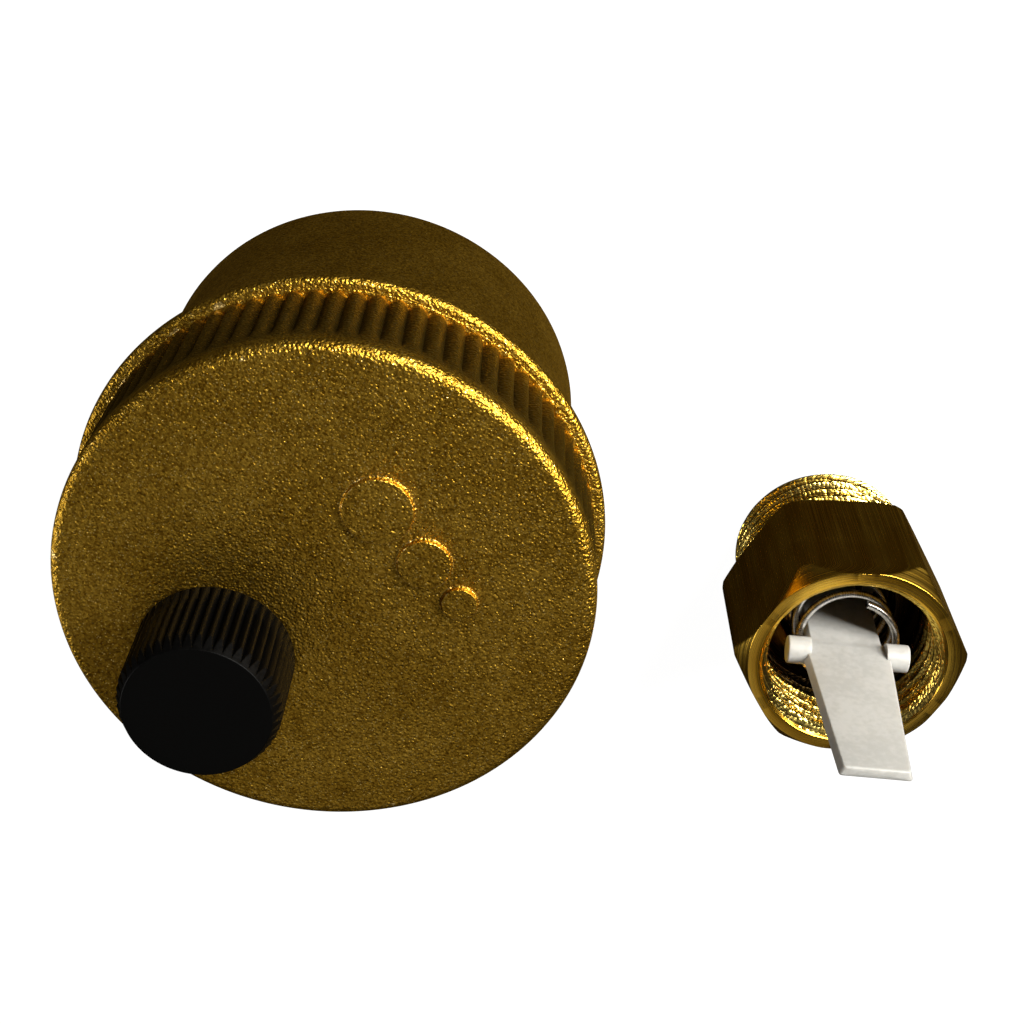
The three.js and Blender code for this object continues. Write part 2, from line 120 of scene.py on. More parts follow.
def rounded(corners, loop=True):
    """A profile through corners (r, z, fillet, step): arcs of each fillet radius joined by straight runs.

    An arc turns from the run before a corner to the run after it, with a point each 15 degrees. The
    straight run after a corner has a point each step, or none between its ends if the step is 0.
    """
    places = np.array([corner[:2] for corner in corners], float)
    count = len(places)
    rows, steps = [], []
    for i, corner in enumerate(corners):
        here, fillet, step = places[i], corner[2], corner[3] if len(corner) > 3 else 0
        before, after = places[i - 1] - here, places[(i + 1) % count] - here
        before, after = before / np.linalg.norm(before), after / np.linalg.norm(after)
        turn = math.pi - math.acos(np.clip(before @ after, -1, 1))
        if fillet == 0 or (not loop and i in (0, count - 1)):
            rows.append(here[None])
        else:
            back = fillet * math.tan(turn / 2)
            bisector = (before + after) / np.linalg.norm(before + after)
            centre = here + bisector * fillet / math.cos(turn / 2)
            first, last = here + before * back - centre, here + after * back - centre
            t = np.linspace(0, 1, max(3, math.ceil(math.degrees(turn) / 15) + 1))[:, None]
            arc = (np.sin((1 - t) * turn) * first + np.sin(t * turn) * last) / math.sin(turn)
            rows.append(centre + arc)
        steps.append(step)
    path = []
    for i in range(count):
        path.append(rows[i])
        if steps[i] and (loop or i < count - 1):
            start, end = rows[i][-1], rows[(i + 1) % count][0]
            pieces = max(1, round(np.linalg.norm(end - start) / steps[i]))
            path.append(start + (end - start) * np.linspace(0, 1, pieces + 1)[1:-1, None])
    return np.concatenate(path)


def thread_cut(z, angle, pitch, start, end):
    """How deep a right-hand thread is cut, from 0 on its crest to 1 in its root.

    It is a triangle wave of height less the climb of one pitch a turn, with its tips rounded. It fades
    over half a pitch at each end of its run.
    """
    phase = (z / pitch - angle / TURN) % 1
    wave = smooth((np.abs(2 * phase - 1) - 0.14) / 0.72)
    fade = np.minimum((z - start) / (pitch / 2), (end - z) / (pitch / 2))
    return wave * smooth(fade)


def hexagon_radius(angle, flats):
    """The distance from the axis to a hexagon's side, for a hexagon with two sides facing along x."""
    away = (angle + TURN / 12) % (TURN / 6) - TURN / 12
    return flats / 2 / np.cos(away)


# ------------------------------------------------------------------ meshes

def closed_mesh(name, points, loop):
    """A closed mesh on a grid of points in millimetres, where each row is a ring.

    With loop the last ring joins the first. Without it each end ring is closed to its own middle. Its
    UV map runs along the rows' path in U and round the rings in V, both in metres. The sign of the
    volume that the faces enclose tells whether they have to be turned over to look outward.
    """
    rows, columns = points.shape[:2]
    vertices = points.reshape(-1, 3) * MM
    row = np.arange(rows if loop else rows - 1)[:, None]
    column = np.arange(columns)[None]
    row_next, column_next = (row + 1) % rows, (column + 1) % columns
    faces = np.stack([
        row * columns + column,
        row * columns + column_next,
        row_next * columns + column_next,
        row_next * columns + column,
    ], -1).reshape(-1, 4)

    along = np.linalg.norm(np.diff(points, axis=0, append=points[:1]), axis=2).mean(1)
    along = np.concatenate([[0], np.cumsum(along)]) * MM
    radius = np.linalg.norm(points - points.mean(1, keepdims=True), axis=2).mean(1) * MM
    radius = np.append(radius, radius[0])
    turn = np.linspace(0, TURN, columns + 1)
    u = np.broadcast_to(along[:, None], (rows + 1, columns + 1))
    v = turn[None] * radius[:, None]
    last = len(row)
    corner_uv = [
        np.stack([u[a:a + last, b:b + columns], v[a:a + last, b:b + columns]], -1)
        for a, b in ((0, 0), (0, 1), (1, 1), (1, 0))
    ]
    uv = np.stack(corner_uv, 2).reshape(-1, 4, 2)

    triangles = np.zeros((0, 3), int)
    if not loop:
        middles = np.array([points[0].mean(0), points[-1].mean(0)]) * MM
        vertices = np.concatenate([vertices, middles])
        first = np.stack([column[0], np.full(columns, rows * columns), column_next[0]], -1)
        end = np.stack([column[0], column_next[0], np.full(columns, rows * columns + 1)], -1)
        end[:, :2] += (rows - 1) * columns
        triangles = np.concatenate([first, end])
    triangle_uv = vertices[triangles][:, :, :2]

    ends = np.concatenate([faces[:, [0, 1, 2]], faces[:, [0, 2, 3]], triangles])
    a, b, c = (vertices[ends[:, i]] for i in range(3))
    if np.einsum("ij,ij->i", a, np.cross(b, c)).sum() < 0:
        faces, uv = faces[:, ::-1], uv[:, ::-1]
        triangles, triangle_uv = triangles[:, ::-1], triangle_uv[:, ::-1]

    mesh = bpy.data.meshes.new(name)
    mesh.from_pydata(vertices.tolist(), [], faces.tolist() + triangles.tolist())
    layer = mesh.uv_layers.new(name="surface")
    flat = np.concatenate([uv.reshape(-1, 2), triangle_uv.reshape(-1, 2)])
    layer.uv.foreach_set("vector", flat.astype(np.float32).ravel())
    return mesh


def piece(name, mesh, material, body, slot, *nodes, sharp=30):
    """A finished piece: smooth but for edges sharper than the given angle, riding on its body."""
    mesh.polygons.foreach_set("use_smooth", np.ones(len(mesh.polygons), bool))
    mesh.set_sharp_from_angle(angle=math.radians(sharp))
    mesh.materials.append(material)
    made = bpy.data.objects.new(name, mesh)
    bpy.context.scene.collection.objects.link(made)
    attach(made, body)
    if nodes:
        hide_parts(*nodes)
    return made


def turned(name, profile, sides, axis, radius=None, loop=True, slide=None):
    """A surface of revolution: each profile point (r, z) is carried round the axis.

    radius(r, z, angle) gives the distance from the axis where it isn't just r. slide gives each row's
    own sideways shift of the axis, as an array of (x, y).
    """
    angle = np.linspace(0, TURN, sides, endpoint=False)[None]
    r, z = profile[:, :1], profile[:, 1:2]
    out = radius(r, z, angle) if radius else r + 0 * angle
    shift = np.zeros((len(profile), 2)) if slide is None else slide
    x = axis[0] + shift[:, :1] + out * np.cos(angle)
    y = axis[1] + shift[:, 1:] + out * np.sin(angle)
    return closed_mesh(name, np.stack([x, y, z + 0 * angle], -1), loop)


def swept_wire(name, path, wire_r, sides):
    """A round wire: a circle carried along a path, square to it, with flat cut ends."""
    along = np.gradient(path, axis=0)
    along /= np.linalg.norm(along, axis=1, keepdims=True)
    up = np.array([0, 0, 1.0])
    side = np.cross(along, up)
    side /= np.linalg.norm(side, axis=1, keepdims=True)
    other = np.cross(side, along)
    angle = np.linspace(0, TURN, sides, endpoint=False)[None, :, None]
    ring = np.cos(angle) * side[:, None] + np.sin(angle) * other[:, None]
    return closed_mesh(name, path[:, None] + wire_r * ring, loop=False)


def coil_path(axis, r, bottom, top, turns, start, closed_ends, per_turn=40):
    """A coil's centre line: a helix whose climb slows to almost nothing in its closed end turns."""
    t = np.linspace(0, 1, round(turns * per_turn))
    angle = start + TURN * turns * t
    ends = np.minimum(t, 1 - t) * turns / closed_ends
    climb = np.cumsum(0.12 + 0.88 * smooth(ends))
    climb = (climb - climb[0]) / (climb[-1] - climb[0])
    x = axis[0] + r * np.cos(angle)
    y = axis[1] + r * np.sin(angle)
    return np.stack([x, y, bottom + (top - bottom) * climb], -1)


def shorten(coil):
    """Give a coil its own copy of its mesh."""
    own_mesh(coil)


def prism(outline, thickness, place):
    """A flat plate's rings: a closed outline carried through its thickness, with its edges eased.

    outline is points (a, b) in the plate's plane. place turns (a, b, c) into a point, where c is the
    height from the plate's middle. The first and last rings are drawn in by the edge's width, along
    the mean of the normals of the two runs that meet at each point.
    """
    edge = PLATE_EDGE
    before = outline - np.roll(outline, 1, 0)
    after = np.roll(outline, -1, 0) - outline
    normal = np.stack([before[:, 1], -before[:, 0]], -1) / np.linalg.norm(before, axis=1, keepdims=True)
    next_normal = np.stack([after[:, 1], -after[:, 0]], -1) / np.linalg.norm(after, axis=1, keepdims=True)
    inward = -(normal + next_normal) / (1 + (normal * next_normal).sum(1, keepdims=True))
    area = (outline[:, 0] * np.roll(outline[:, 1], -1) - outline[:, 1] * np.roll(outline[:, 0], -1)).sum()
    inward *= math.copysign(1, area)
    half = thickness / 2
    levels = [(1, -half), (0.3, -half + 0.3 * edge), (0, -half + edge),
              (0, half - edge), (0.3, half - 0.3 * edge), (1, half)]
    rings = [place(outline[:, 0] + inward[:, 0] * edge * s, outline[:, 1] + inward[:, 1] * edge * s,
                   np.full(len(outline), c)) for s, c in levels]
    return np.stack(rings)


def holed_plate(name, sides, hole_r, half_thick, bevel, place):
    """A rectangular plate with a round hole: rays from the hole's middle meet the plate's four sides.

    sides says how far the plate runs from that middle: back, forward, down and up. place turns a point's
    (a, b, c), along, across and through the plate, into its place. Both outlines give way by the edge's
    width at the two faces, over the bevel's height.
    """
    back, forward, down, up = sides
    corners = [math.atan2(b, a) % TURN for a in (-back, forward) for b in (-down, up)]
    angle = np.unique(np.concatenate([np.linspace(0, TURN, 96, endpoint=False), corners]))
    cos, sin = np.cos(angle), np.sin(angle)
    along = np.where(cos > 0, forward, back) / np.maximum(np.abs(cos), 1e-9)
    across = np.where(sin > 0, up, down) / np.maximum(np.abs(sin), 1e-9)
    levels = ((1, -half_thick), (0, bevel - half_thick), (0, half_thick - bevel), (1, half_thick))
    outside, inside = [
        np.stack([place((r + sign * eased * PLATE_EDGE) * cos, (r + sign * eased * PLATE_EDGE) * sin,
                        np.full(len(angle), c)) for eased, c in levels])
        for r, sign in ((np.minimum(along, across), -1), (hole_r, 1))
    ]
    return closed_mesh(name, np.concatenate([outside, inside[::-1]]), loop=True)


def paint_shade(mesh, axis, share):
    """Give each vertex its share of painted shade, share(out, up), from its distance off an axis and its
    height.
    """
    places = np.zeros(len(mesh.vertices) * 3, np.float32)
    mesh.vertices.foreach_get("co", places)
    out = np.hypot(places[0::3] / MM - axis[0], places[1::3] / MM - axis[1])
    up = places[2::3] / MM
    layer = mesh.attributes.new("painted_shade", "FLOAT", "POINT")
    layer.data.foreach_set("value", share(out, up).astype(np.float32))


# ------------------------------------------------------------------ material nodes

def add(tree, kind, inputs=None, **settings):
    """One shader node. inputs sets each named or numbered socket to a value or links it to a socket."""
    made = tree.nodes.new(kind)
    for key, value in settings.items():
        setattr(made, key, value)
    for key, value in (inputs or {}).items():
        socket = made.inputs[key]
        if isinstance(value, bpy.types.NodeSocket):
            tree.links.new(value, socket)
        else:
            socket.default_value = value
    return made


def arithmetic(tree, operation, a, b=0.0, c=0.0):
    made = add(tree, "ShaderNodeMath", {0: a, 1: b, 2: c}, operation=operation)
    return made.outputs[0]


def mix_colours(tree, factor, first, second):
    made = add(tree, "ShaderNodeMix", {0: factor, 6: first, 7: second}, data_type="RGBA")
    return made.outputs[2]


def spread(tree, value, low, high, to_low=0.0, to_high=1.0):
    """Carries value from the range low to high onto another range, and holds it at the ends."""
    made = add(tree, "ShaderNodeMapRange",
               {0: value, 1: low, 2: high, 3: to_low, 4: to_high}, interpolation_type="SMOOTHSTEP")
    return made.outputs[0]


def group_of(name, inputs, outputs):
    """An empty node group with the given sockets, and its input and output nodes."""
    tree = bpy.data.node_groups.new(name, "ShaderNodeTree")
    for label, (kind, value) in inputs.items():
        socket = tree.interface.new_socket(name=label, in_out="INPUT", socket_type=kind)
        if value is not None:
            socket.default_value = value
    for label, kind in outputs.items():
        tree.interface.new_socket(name=label, in_out="OUTPUT", socket_type=kind)
    return tree, tree.nodes.new("NodeGroupInput"), tree.nodes.new("NodeGroupOutput")


FLOAT_SOCKET, VECTOR_SOCKET = "NodeSocketFloat", "NodeSocketVector"


def blast_grain():
    """Shot-blasted skin: rounded dents a fraction of a millimetre wide, and a few picked for painted glints.

    Height is a cell distance plus fine noise. Glint picks a share of the cells at random, for a painted
    highlight, and Speck gives each cell a shade of its own. Tone is a slow stain. Size is the dents'
    width in metres.
    """
    tree, given, out = group_of(
        "blast grain",
        {"Vector": (VECTOR_SOCKET, None), "Size": (FLOAT_SOCKET, 0.00025)},
        {"Height": FLOAT_SOCKET, "Glint": FLOAT_SOCKET, "Speck": FLOAT_SOCKET, "Tone": FLOAT_SOCKET},
    )
    vector, size = given.outputs["Vector"], given.outputs["Size"]
    density = arithmetic(tree, "DIVIDE", 1.0, size)
    cells = add(tree, "ShaderNodeTexVoronoi", {"Vector": vector, "Scale": density},
                feature="SMOOTH_F1")
    fine = add(tree, "ShaderNodeTexNoise",
               {"Vector": vector, "Scale": arithmetic(tree, "MULTIPLY", density, 0.9), "Detail": 2.0})
    height = arithmetic(tree, "MULTIPLY_ADD", fine.outputs["Fac"], 0.8, cells.outputs["Distance"])
    picks = add(tree, "ShaderNodeTexVoronoi",
                {"Vector": vector, "Scale": arithmetic(tree, "MULTIPLY", density, 1.15)})
    pick = add(tree, "ShaderNodeSeparateColor", {0: picks.outputs["Color"]})
    core = spread(tree, picks.outputs["Distance"], 0.45, 0.2)
    glint = arithmetic(tree, "MULTIPLY", spread(tree, pick.outputs[0], 0.7, 0.98), core)
    stain = add(tree, "ShaderNodeTexNoise", {"Vector": vector, "Scale": 150.0, "Detail": 3.0})
    tree.links.new(height, out.inputs["Height"])
    tree.links.new(glint, out.inputs["Glint"])
    tree.links.new(pick.outputs[1], out.inputs["Speck"])
    tree.links.new(spread(tree, stain.outputs["Fac"], 0.35, 0.65), out.inputs["Tone"])
    return tree


def tool_marks():
    """Fine grooves that a cutting or drawing tool leaves: noise drawn out long across the Vector's x.

    Vector is a UV in metres. Pitch is the grooves' spacing in metres. Height is the grooves, Tone a slow
    change from one band to the next.
    """
    tree, given, out = group_of(
        "tool marks",
        {"Vector": (VECTOR_SOCKET, None), "Pitch": (FLOAT_SOCKET, 0.0001)},
        {"Height": FLOAT_SOCKET, "Tone": FLOAT_SOCKET},
    )
    density = arithmetic(tree, "DIVIDE", 1.0, given.outputs["Pitch"])
    parts = add(tree, "ShaderNodeSeparateXYZ", {0: given.outputs["Vector"]})
    x = arithmetic(tree, "MULTIPLY", parts.outputs[0], density)
    y = arithmetic(tree, "MULTIPLY", parts.outputs[1], 60.0)
    long_cells = add(tree, "ShaderNodeCombineXYZ", {0: x, 1: y})
    grooves = add(tree, "ShaderNodeTexNoise",
                  {"Vector": long_cells.outputs[0], "Scale": 1.0, "Detail": 2.0})
    slow_x = arithmetic(tree, "MULTIPLY", x, 0.06)
    slow = add(tree, "ShaderNodeCombineXYZ", {0: slow_x, 1: y})
    bands = add(tree, "ShaderNodeTexNoise", {"Vector": slow.outputs[0], "Scale": 1.0, "Detail": 1.0})
    tree.links.new(grooves.outputs["Fac"], out.inputs["Height"])
    tree.links.new(spread(tree, bands.outputs["Fac"], 0.35, 0.65), out.inputs["Tone"])
    return tree


def edge_wear_and_sheen():
    """Where an edge stands out, for rubbed wear and a painted highlight: the mesh's pointiness, broken up by
    noise.

    Level faces have no wear or painted highlight, however the mesh lies in them.
    """
    tree, given, out = group_of(
        "edge wear and sheen",
        {"Vector": (VECTOR_SOCKET, None), "From": (FLOAT_SOCKET, 0.53), "To": (FLOAT_SOCKET, 0.6)},
        {"Wear and sheen": FLOAT_SOCKET},
    )
    shape = add(tree, "ShaderNodeNewGeometry")
    noise = add(tree, "ShaderNodeTexNoise",
                {"Vector": given.outputs["Vector"], "Scale": 900.0, "Detail": 3.0})
    rough = arithmetic(tree, "MULTIPLY_ADD", noise.outputs["Fac"], 0.06, shape.outputs["Pointiness"])
    edge = add(tree, "ShaderNodeMapRange", {
        0: arithmetic(tree, "SUBTRACT", rough, 0.03),
        1: given.outputs["From"], 2: given.outputs["To"]})
    normal = add(tree, "ShaderNodeSeparateXYZ", {0: shape.outputs["Normal"]})
    level = arithmetic(tree, "ABSOLUTE", normal.outputs[2])
    slope = spread(tree, level, 0.9995, 0.985)
    tree.links.new(arithmetic(tree, "MULTIPLY", edge.outputs[0], slope), out.inputs["Wear and sheen"])
    return tree


GRAIN, MARKS, WEAR_AND_SHEEN = blast_grain(), tool_marks(), edge_wear_and_sheen()


def new_material(name, **constants):
    """A material with one Principled shader, whose named sockets are set to the constants given."""
    material = bpy.data.materials.new(name)
    material.use_nodes = True
    tree = material.node_tree
    tree.nodes.clear()
    shader = add(tree, "ShaderNodeBsdfPrincipled",
                 {key.replace("_", " "): value for key, value in constants.items()})
    result = add(tree, "ShaderNodeOutputMaterial")
    tree.links.new(shader.outputs[0], result.inputs["Surface"])
    place = add(tree, "ShaderNodeTexCoord")
    return material, tree, shader, place


def use_group(tree, group, inputs):
    return add(tree, "ShaderNodeGroup", inputs, node_tree=group)


def bump(tree, shader, height, distance, strength=1.0, under=None):
    """A Bump node over the shader's normal, or over another bump. Distance is in metres."""
    made = add(tree, "ShaderNodeBump", {"Strength": strength, "Distance": distance, "Height": height})
    if under:
        tree.links.new(under.outputs[0], made.inputs["Normal"])
    tree.links.new(made.outputs[0], shader.inputs["Normal"])
    return made


def blasted_brass():
    material, tree, shader, place = new_material("blasted brass", Metallic=1.0,
                                                 Specular_Tint=(1.0, 0.85, 0.5, 1))
    spot = place.outputs["Object"]
    grain = use_group(tree, GRAIN, {"Vector": spot, "Size": 0.00022})
    wear_and_sheen = use_group(tree, WEAR_AND_SHEEN, {"Vector": spot})
    dark = mix_colours(tree, grain.outputs["Tone"], (0.20, 0.098, 0.006, 1), (0.26, 0.135, 0.010, 1))
    pale = mix_colours(tree, grain.outputs["Tone"], (0.50, 0.29, 0.030, 1), (0.60, 0.36, 0.045, 1))
    ground = mix_colours(tree, grain.outputs["Speck"], dark, pale)
    # Painted highlight: a pale gold is painted on the glint cells.
    painted_glint = mix_colours(tree, grain.outputs["Glint"], ground, (0.95, 0.69, 0.21, 1))
    # Worn edges: real rubbing, and a painted highlight along the edges, in pale gold.
    bright = mix_colours(tree, wear_and_sheen.outputs["Wear and sheen"], painted_glint, (0.88, 0.64, 0.24, 1))
    # Painted shade: a near-black brown is painted where the painted_shade attribute lies.
    painted_shade = add(tree, "ShaderNodeAttribute", attribute_name="painted_shade")
    colour = mix_colours(tree, painted_shade.outputs["Fac"], bright, (0.045, 0.029, 0.006, 1))
    roughness = arithmetic(tree, "MULTIPLY_ADD", grain.outputs["Glint"], -0.12, 0.40)
    roughness = arithmetic(tree, "MULTIPLY_ADD", painted_shade.outputs["Fac"], 0.15, roughness)
    tree.links.new(colour, shader.inputs["Base Color"])
    tree.links.new(roughness, shader.inputs["Roughness"])
    bump(tree, shader, grain.outputs["Height"], 0.0001, 1.0)
    return material


def machined_brass(name, drawn=False, chatter_and_sheen=False):
    """Bright brass. Turned surfaces carry rings from the tool, and drawn ones carry straight lines.

    Chatter breaks a thread up into rows of small domed cells, half a millimetre across. Threads are also
    painted a paler, brighter brass, a painted highlight.
    """
    material, tree, shader, place = new_material(name, Metallic=1.0, Specular_Tint=(1.0, 0.85, 0.5, 1))
    uv = place.outputs["UV"]
    parts = add(tree, "ShaderNodeSeparateXYZ", {0: uv})
    across = add(tree, "ShaderNodeCombineXYZ", {0: parts.outputs[1], 1: parts.outputs[0]})
    marks = use_group(tree, MARKS, {"Vector": across.outputs[0] if drawn else uv, "Pitch": 0.00012})
    tarnish = add(tree, "ShaderNodeTexNoise", {"Vector": place.outputs["Object"], "Scale": 160.0,
                                               "Detail": 4.0, "Distortion": 0.6})
    stain = spread(tree, tarnish.outputs["Fac"], 0.4, 0.7)
    # Threads: a paler, brighter brass, a painted highlight.
    if chatter_and_sheen:
        low, high = (0.86, 0.60, 0.11, 1), (0.96, 0.74, 0.20, 1)
    else:
        low, high = (0.60, 0.33, 0.03, 1), (0.80, 0.50, 0.07, 1)
    ground = mix_colours(tree, marks.outputs["Tone"], low, high)
    stained = mix_colours(tree, arithmetic(tree, "MULTIPLY", stain, 0.35), ground, (0.42, 0.19, 0.01, 1))
    # Painted shade: near-black is painted where the painted_shade attribute lies.
    painted_shade = add(tree, "ShaderNodeAttribute", attribute_name="painted_shade")
    colour = mix_colours(tree, painted_shade.outputs["Fac"], stained, (0.02, 0.012, 0.005, 1))
    tree.links.new(colour, shader.inputs["Base Color"])
    roughness = spread(tree, marks.outputs["Height"], 0.3, 0.7, 0.16, 0.3)
    tree.links.new(roughness, shader.inputs["Roughness"])
    under = None
    if chatter_and_sheen:
        cells = add(tree, "ShaderNodeTexVoronoi", {"Vector": uv, "Scale": 2100.0, "Randomness": 0.7},
                    voronoi_dimensions="2D")
        dome = arithmetic(tree, "MULTIPLY", cells.outputs["Distance"], cells.outputs["Distance"])
        under = bump(tree, shader, arithmetic(tree, "SUBTRACT", 1.0, dome), 0.00009)
    bump(tree, shader, marks.outputs["Height"], 0.000012, 0.8, under)
    return material


def black_plastic():
    material, tree, shader, place = new_material("black plastic", IOR=1.45, Specular_IOR_Level=0.06)
    spot = place.outputs["Object"]
    skin = add(tree, "ShaderNodeTexNoise", {"Vector": spot, "Scale": 2600.0, "Detail": 3.0})
    dust = add(tree, "ShaderNodeTexVoronoi", {"Vector": spot, "Scale": 620.0, "Randomness": 1.0})
    pick = add(tree, "ShaderNodeSeparateColor", {0: dust.outputs["Color"]})
    speck = arithmetic(tree, "MULTIPLY", spread(tree, dust.outputs["Distance"], 0.1, 0.05),
                       spread(tree, pick.outputs[1], 0.975, 0.985))
    tree.links.new(mix_colours(tree, speck, (0.0012, 0.0012, 0.0012, 1), (0.2, 0.2, 0.19, 1)),
                   shader.inputs["Base Color"])
    tree.links.new(spread(tree, skin.outputs["Fac"], 0.3, 0.7, 0.34, 0.5), shader.inputs["Roughness"])
    bump(tree, shader, skin.outputs["Fac"], 0.00001, 0.5)
    return material


def milky_plastic(name, colour, shade, roughness):
    """Natural plastic that light sinks into, with the faint mottle and flow lines of moulding."""
    material, tree, shader, place = new_material(
        name, IOR=1.48, Subsurface_Weight=0.35, Subsurface_Radius=(0.0016, 0.0014, 0.0012),
        Subsurface_Scale=1.0)
    spot = place.outputs["Object"]
    mottle = add(tree, "ShaderNodeTexNoise", {"Vector": spot, "Scale": 1500.0, "Detail": 4.0})
    flow = add(tree, "ShaderNodeTexNoise", {"Vector": spot, "Scale": 130.0, "Detail": 2.0,
                                            "Distortion": 1.2})
    both = arithmetic(tree, "MULTIPLY_ADD", mottle.outputs["Fac"], 0.5,
                      arithmetic(tree, "MULTIPLY", flow.outputs["Fac"], 0.5))
    tree.links.new(mix_colours(tree, spread(tree, both, 0.38, 0.62), shade, colour),
                   shader.inputs["Base Color"])
    tree.links.new(spread(tree, mottle.outputs["Fac"], 0.3, 0.7, roughness - 0.06, roughness + 0.06),
                   shader.inputs["Roughness"])
    bump(tree, shader, mottle.outputs["Fac"], 0.00002, 0.6)
    return material


def steel(name, colour, roughness, pitch):
    """Drawn or rolled stainless steel with fine lines along it."""
    material, tree, shader, place = new_material(name, Metallic=1.0)
    marks = use_group(tree, MARKS, {"Vector": place.outputs["UV"], "Pitch": pitch})
    dark = tuple(0.72 * part for part in colour[:3]) + (1,)
    tree.links.new(mix_colours(tree, marks.outputs["Tone"], dark, colour), shader.inputs["Base Color"])
    tree.links.new(spread(tree, marks.outputs["Height"], 0.3, 0.7, roughness - 0.07, roughness + 0.07),
                   shader.inputs["Roughness"])
    bump(tree, shader, marks.outputs["Height"], 0.000006, 0.6)
    return material


def rubber():
    material, tree, shader, place = new_material("black rubber", IOR=1.5)
    spot = place.outputs["Object"]
    bloom = add(tree, "ShaderNodeTexNoise", {"Vector": spot, "Scale": 300.0, "Detail": 5.0})
    skin = add(tree, "ShaderNodeTexNoise", {"Vector": spot, "Scale": 4200.0, "Detail": 2.0})
    tree.links.new(mix_colours(tree, spread(tree, bloom.outputs["Fac"], 0.45, 0.75),
                               (0.012, 0.012, 0.012, 1), (0.05, 0.05, 0.048, 1)),
                   shader.inputs["Base Color"])
    tree.links.new(spread(tree, bloom.outputs["Fac"], 0.3, 0.7, 0.5, 0.7), shader.inputs["Roughness"])
    bump(tree, shader, skin.outputs["Fac"], 0.00002, 0.7)
    return material


def fibre():
    material, tree, shader, place = new_material("red fibre", IOR=1.45)
    spot = place.outputs["Object"]
    stretch = add(tree, "ShaderNodeMapping", {"Vector": spot, "Scale": (1.0, 1.0, 3.0)})
    strands = add(tree, "ShaderNodeTexNoise", {"Vector": stretch.outputs[0], "Scale": 1700.0,
                                               "Detail": 5.0, "Distortion": 2.0})
    tree.links.new(mix_colours(tree, spread(tree, strands.outputs["Fac"], 0.35, 0.65),
                               (0.11, 0.022, 0.012, 1), (0.27, 0.075, 0.04, 1)),
                   shader.inputs["Base Color"])
    tree.links.new(spread(tree, strands.outputs["Fac"], 0.3, 0.7, 0.75, 0.95),
                   shader.inputs["Roughness"])
    bump(tree, shader, strands.outputs["Fac"], 0.00004, 0.8)
    return material


BLASTED = blasted_brass()
TURNED_BRASS = machined_brass("turned brass")
DRAWN_BRASS = machined_brass("drawn brass", drawn=True)
HIGHLIT_THREAD_BRASS = machined_brass("highlit threaded brass", chatter_and_sheen=True)
BLACK = black_plastic()
WHITE = milky_plastic("white acetal", (0.43, 0.43, 0.42, 1), (0.37, 0.37, 0.36, 1), 0.45)
NATURAL = milky_plastic("natural polypropylene", (0.78, 0.76, 0.68, 1), (0.66, 0.64, 0.56, 1), 0.35)
SPRING = steel("spring wire", (0.62, 0.60, 0.57, 1), 0.26, 0.00004)
PRESSED = steel("pressed stainless", (0.66, 0.65, 0.63, 1), 0.3, 0.00008)
RUBBER = rubber()
FIBRE = fibre()


# ------------------------------------------------------------------ vent: housing and its ring

def make_housing():
    """The housing: nipple, wrench hexagon, cone, straight wall and threaded spigot, hollow inside.

    Its profile is carried round the axis. Below the collar the radius is cut by the nipple's thread, at
    the collar by a hexagon, and at the spigot by a finer thread.
    """
    collar_flats, collar_low, collar_high = 24.0, 10.2, 19.5
    nipple_end, bore = 8.4, 6.0
    wall_r, chamber_r, shoulder_z, spigot_z = HOUSING.r, 17.2, 29.0, 53.6
    cone_r, funnel_r, funnel_z, bore_z = 14.2, 11.5, 20.0, 17.0
    spigot_r, spigot_pitch, spigot_depth = 19.0, 1.5, 0.85
    corner_r = collar_flats / math.sqrt(3) - 0.25
    fine = G_HALF.pitch / 14
    profile = rounded([
        (bore, 0, 0.3),
        (G_HALF.major - LEAD_IN, 0, 0.12, 0.2),
        (G_HALF.major, LEAD_IN, 0, fine),
        (G_HALF.major, nipple_end - 0.5, 0, 0.2),
        (G_HALF.minor, nipple_end, 0.1),
        (G_HALF.minor, collar_low, 0.15),
        (corner_r - 0.9, collar_low, 0.1, 0.15),
        (corner_r, collar_low + 0.6, 0.1, 2.0),
        (corner_r, collar_high - 0.6, 0.1, 0.15),
        (corner_r - 0.9, collar_high, 0.3),
        (cone_r, collar_high + 0.35, 0.8, 1.5),
        (wall_r, shoulder_z, 2.2, 4.0),
        (wall_r, spigot_z, 0.2),
        (spigot_r, spigot_z, 0.15, spigot_pitch / 10),
        (spigot_r, HOUSING.top, 0.5),
        (chamber_r, HOUSING.top, 0.3, 6.0),
        (chamber_r, shoulder_z, 1.5, 2.5),
        (funnel_r, funnel_z, 1.5, 1.5),
        (bore, bore_z, 1.0, 4.0),
    ])

    def radius(r, z, angle):
        cut = G_HALF.major - (G_HALF.major - G_HALF.minor) * thread_cut(
            z, angle, G_HALF.pitch, 0.1, nipple_end + 0.2)
        on_nipple = (z < nipple_end + 0.01) & (r > bore + 0.5)
        r = np.where(on_nipple, np.minimum(r, cut), r)
        on_collar = (z >= collar_low) & (z <= collar_high + 0.2) & (r > 11)
        r = np.where(on_collar, soft_min(r, hexagon_radius(angle, collar_flats), 0.12), r)
        cut = spigot_r - spigot_depth * thread_cut(z, angle, spigot_pitch, spigot_z + 0.8, HOUSING.top + 0.4)
        on_spigot = (z > spigot_z) & (r > chamber_r + 0.9)
        return np.where(on_spigot, np.minimum(r, cut), r)

    mesh = turned("housing_casting", profile, 432, (HOUSING.x, HOUSING.y), radius)
    piece("housing_casting", mesh, BLASTED, "vent_housing", "cast_brass", "housing")


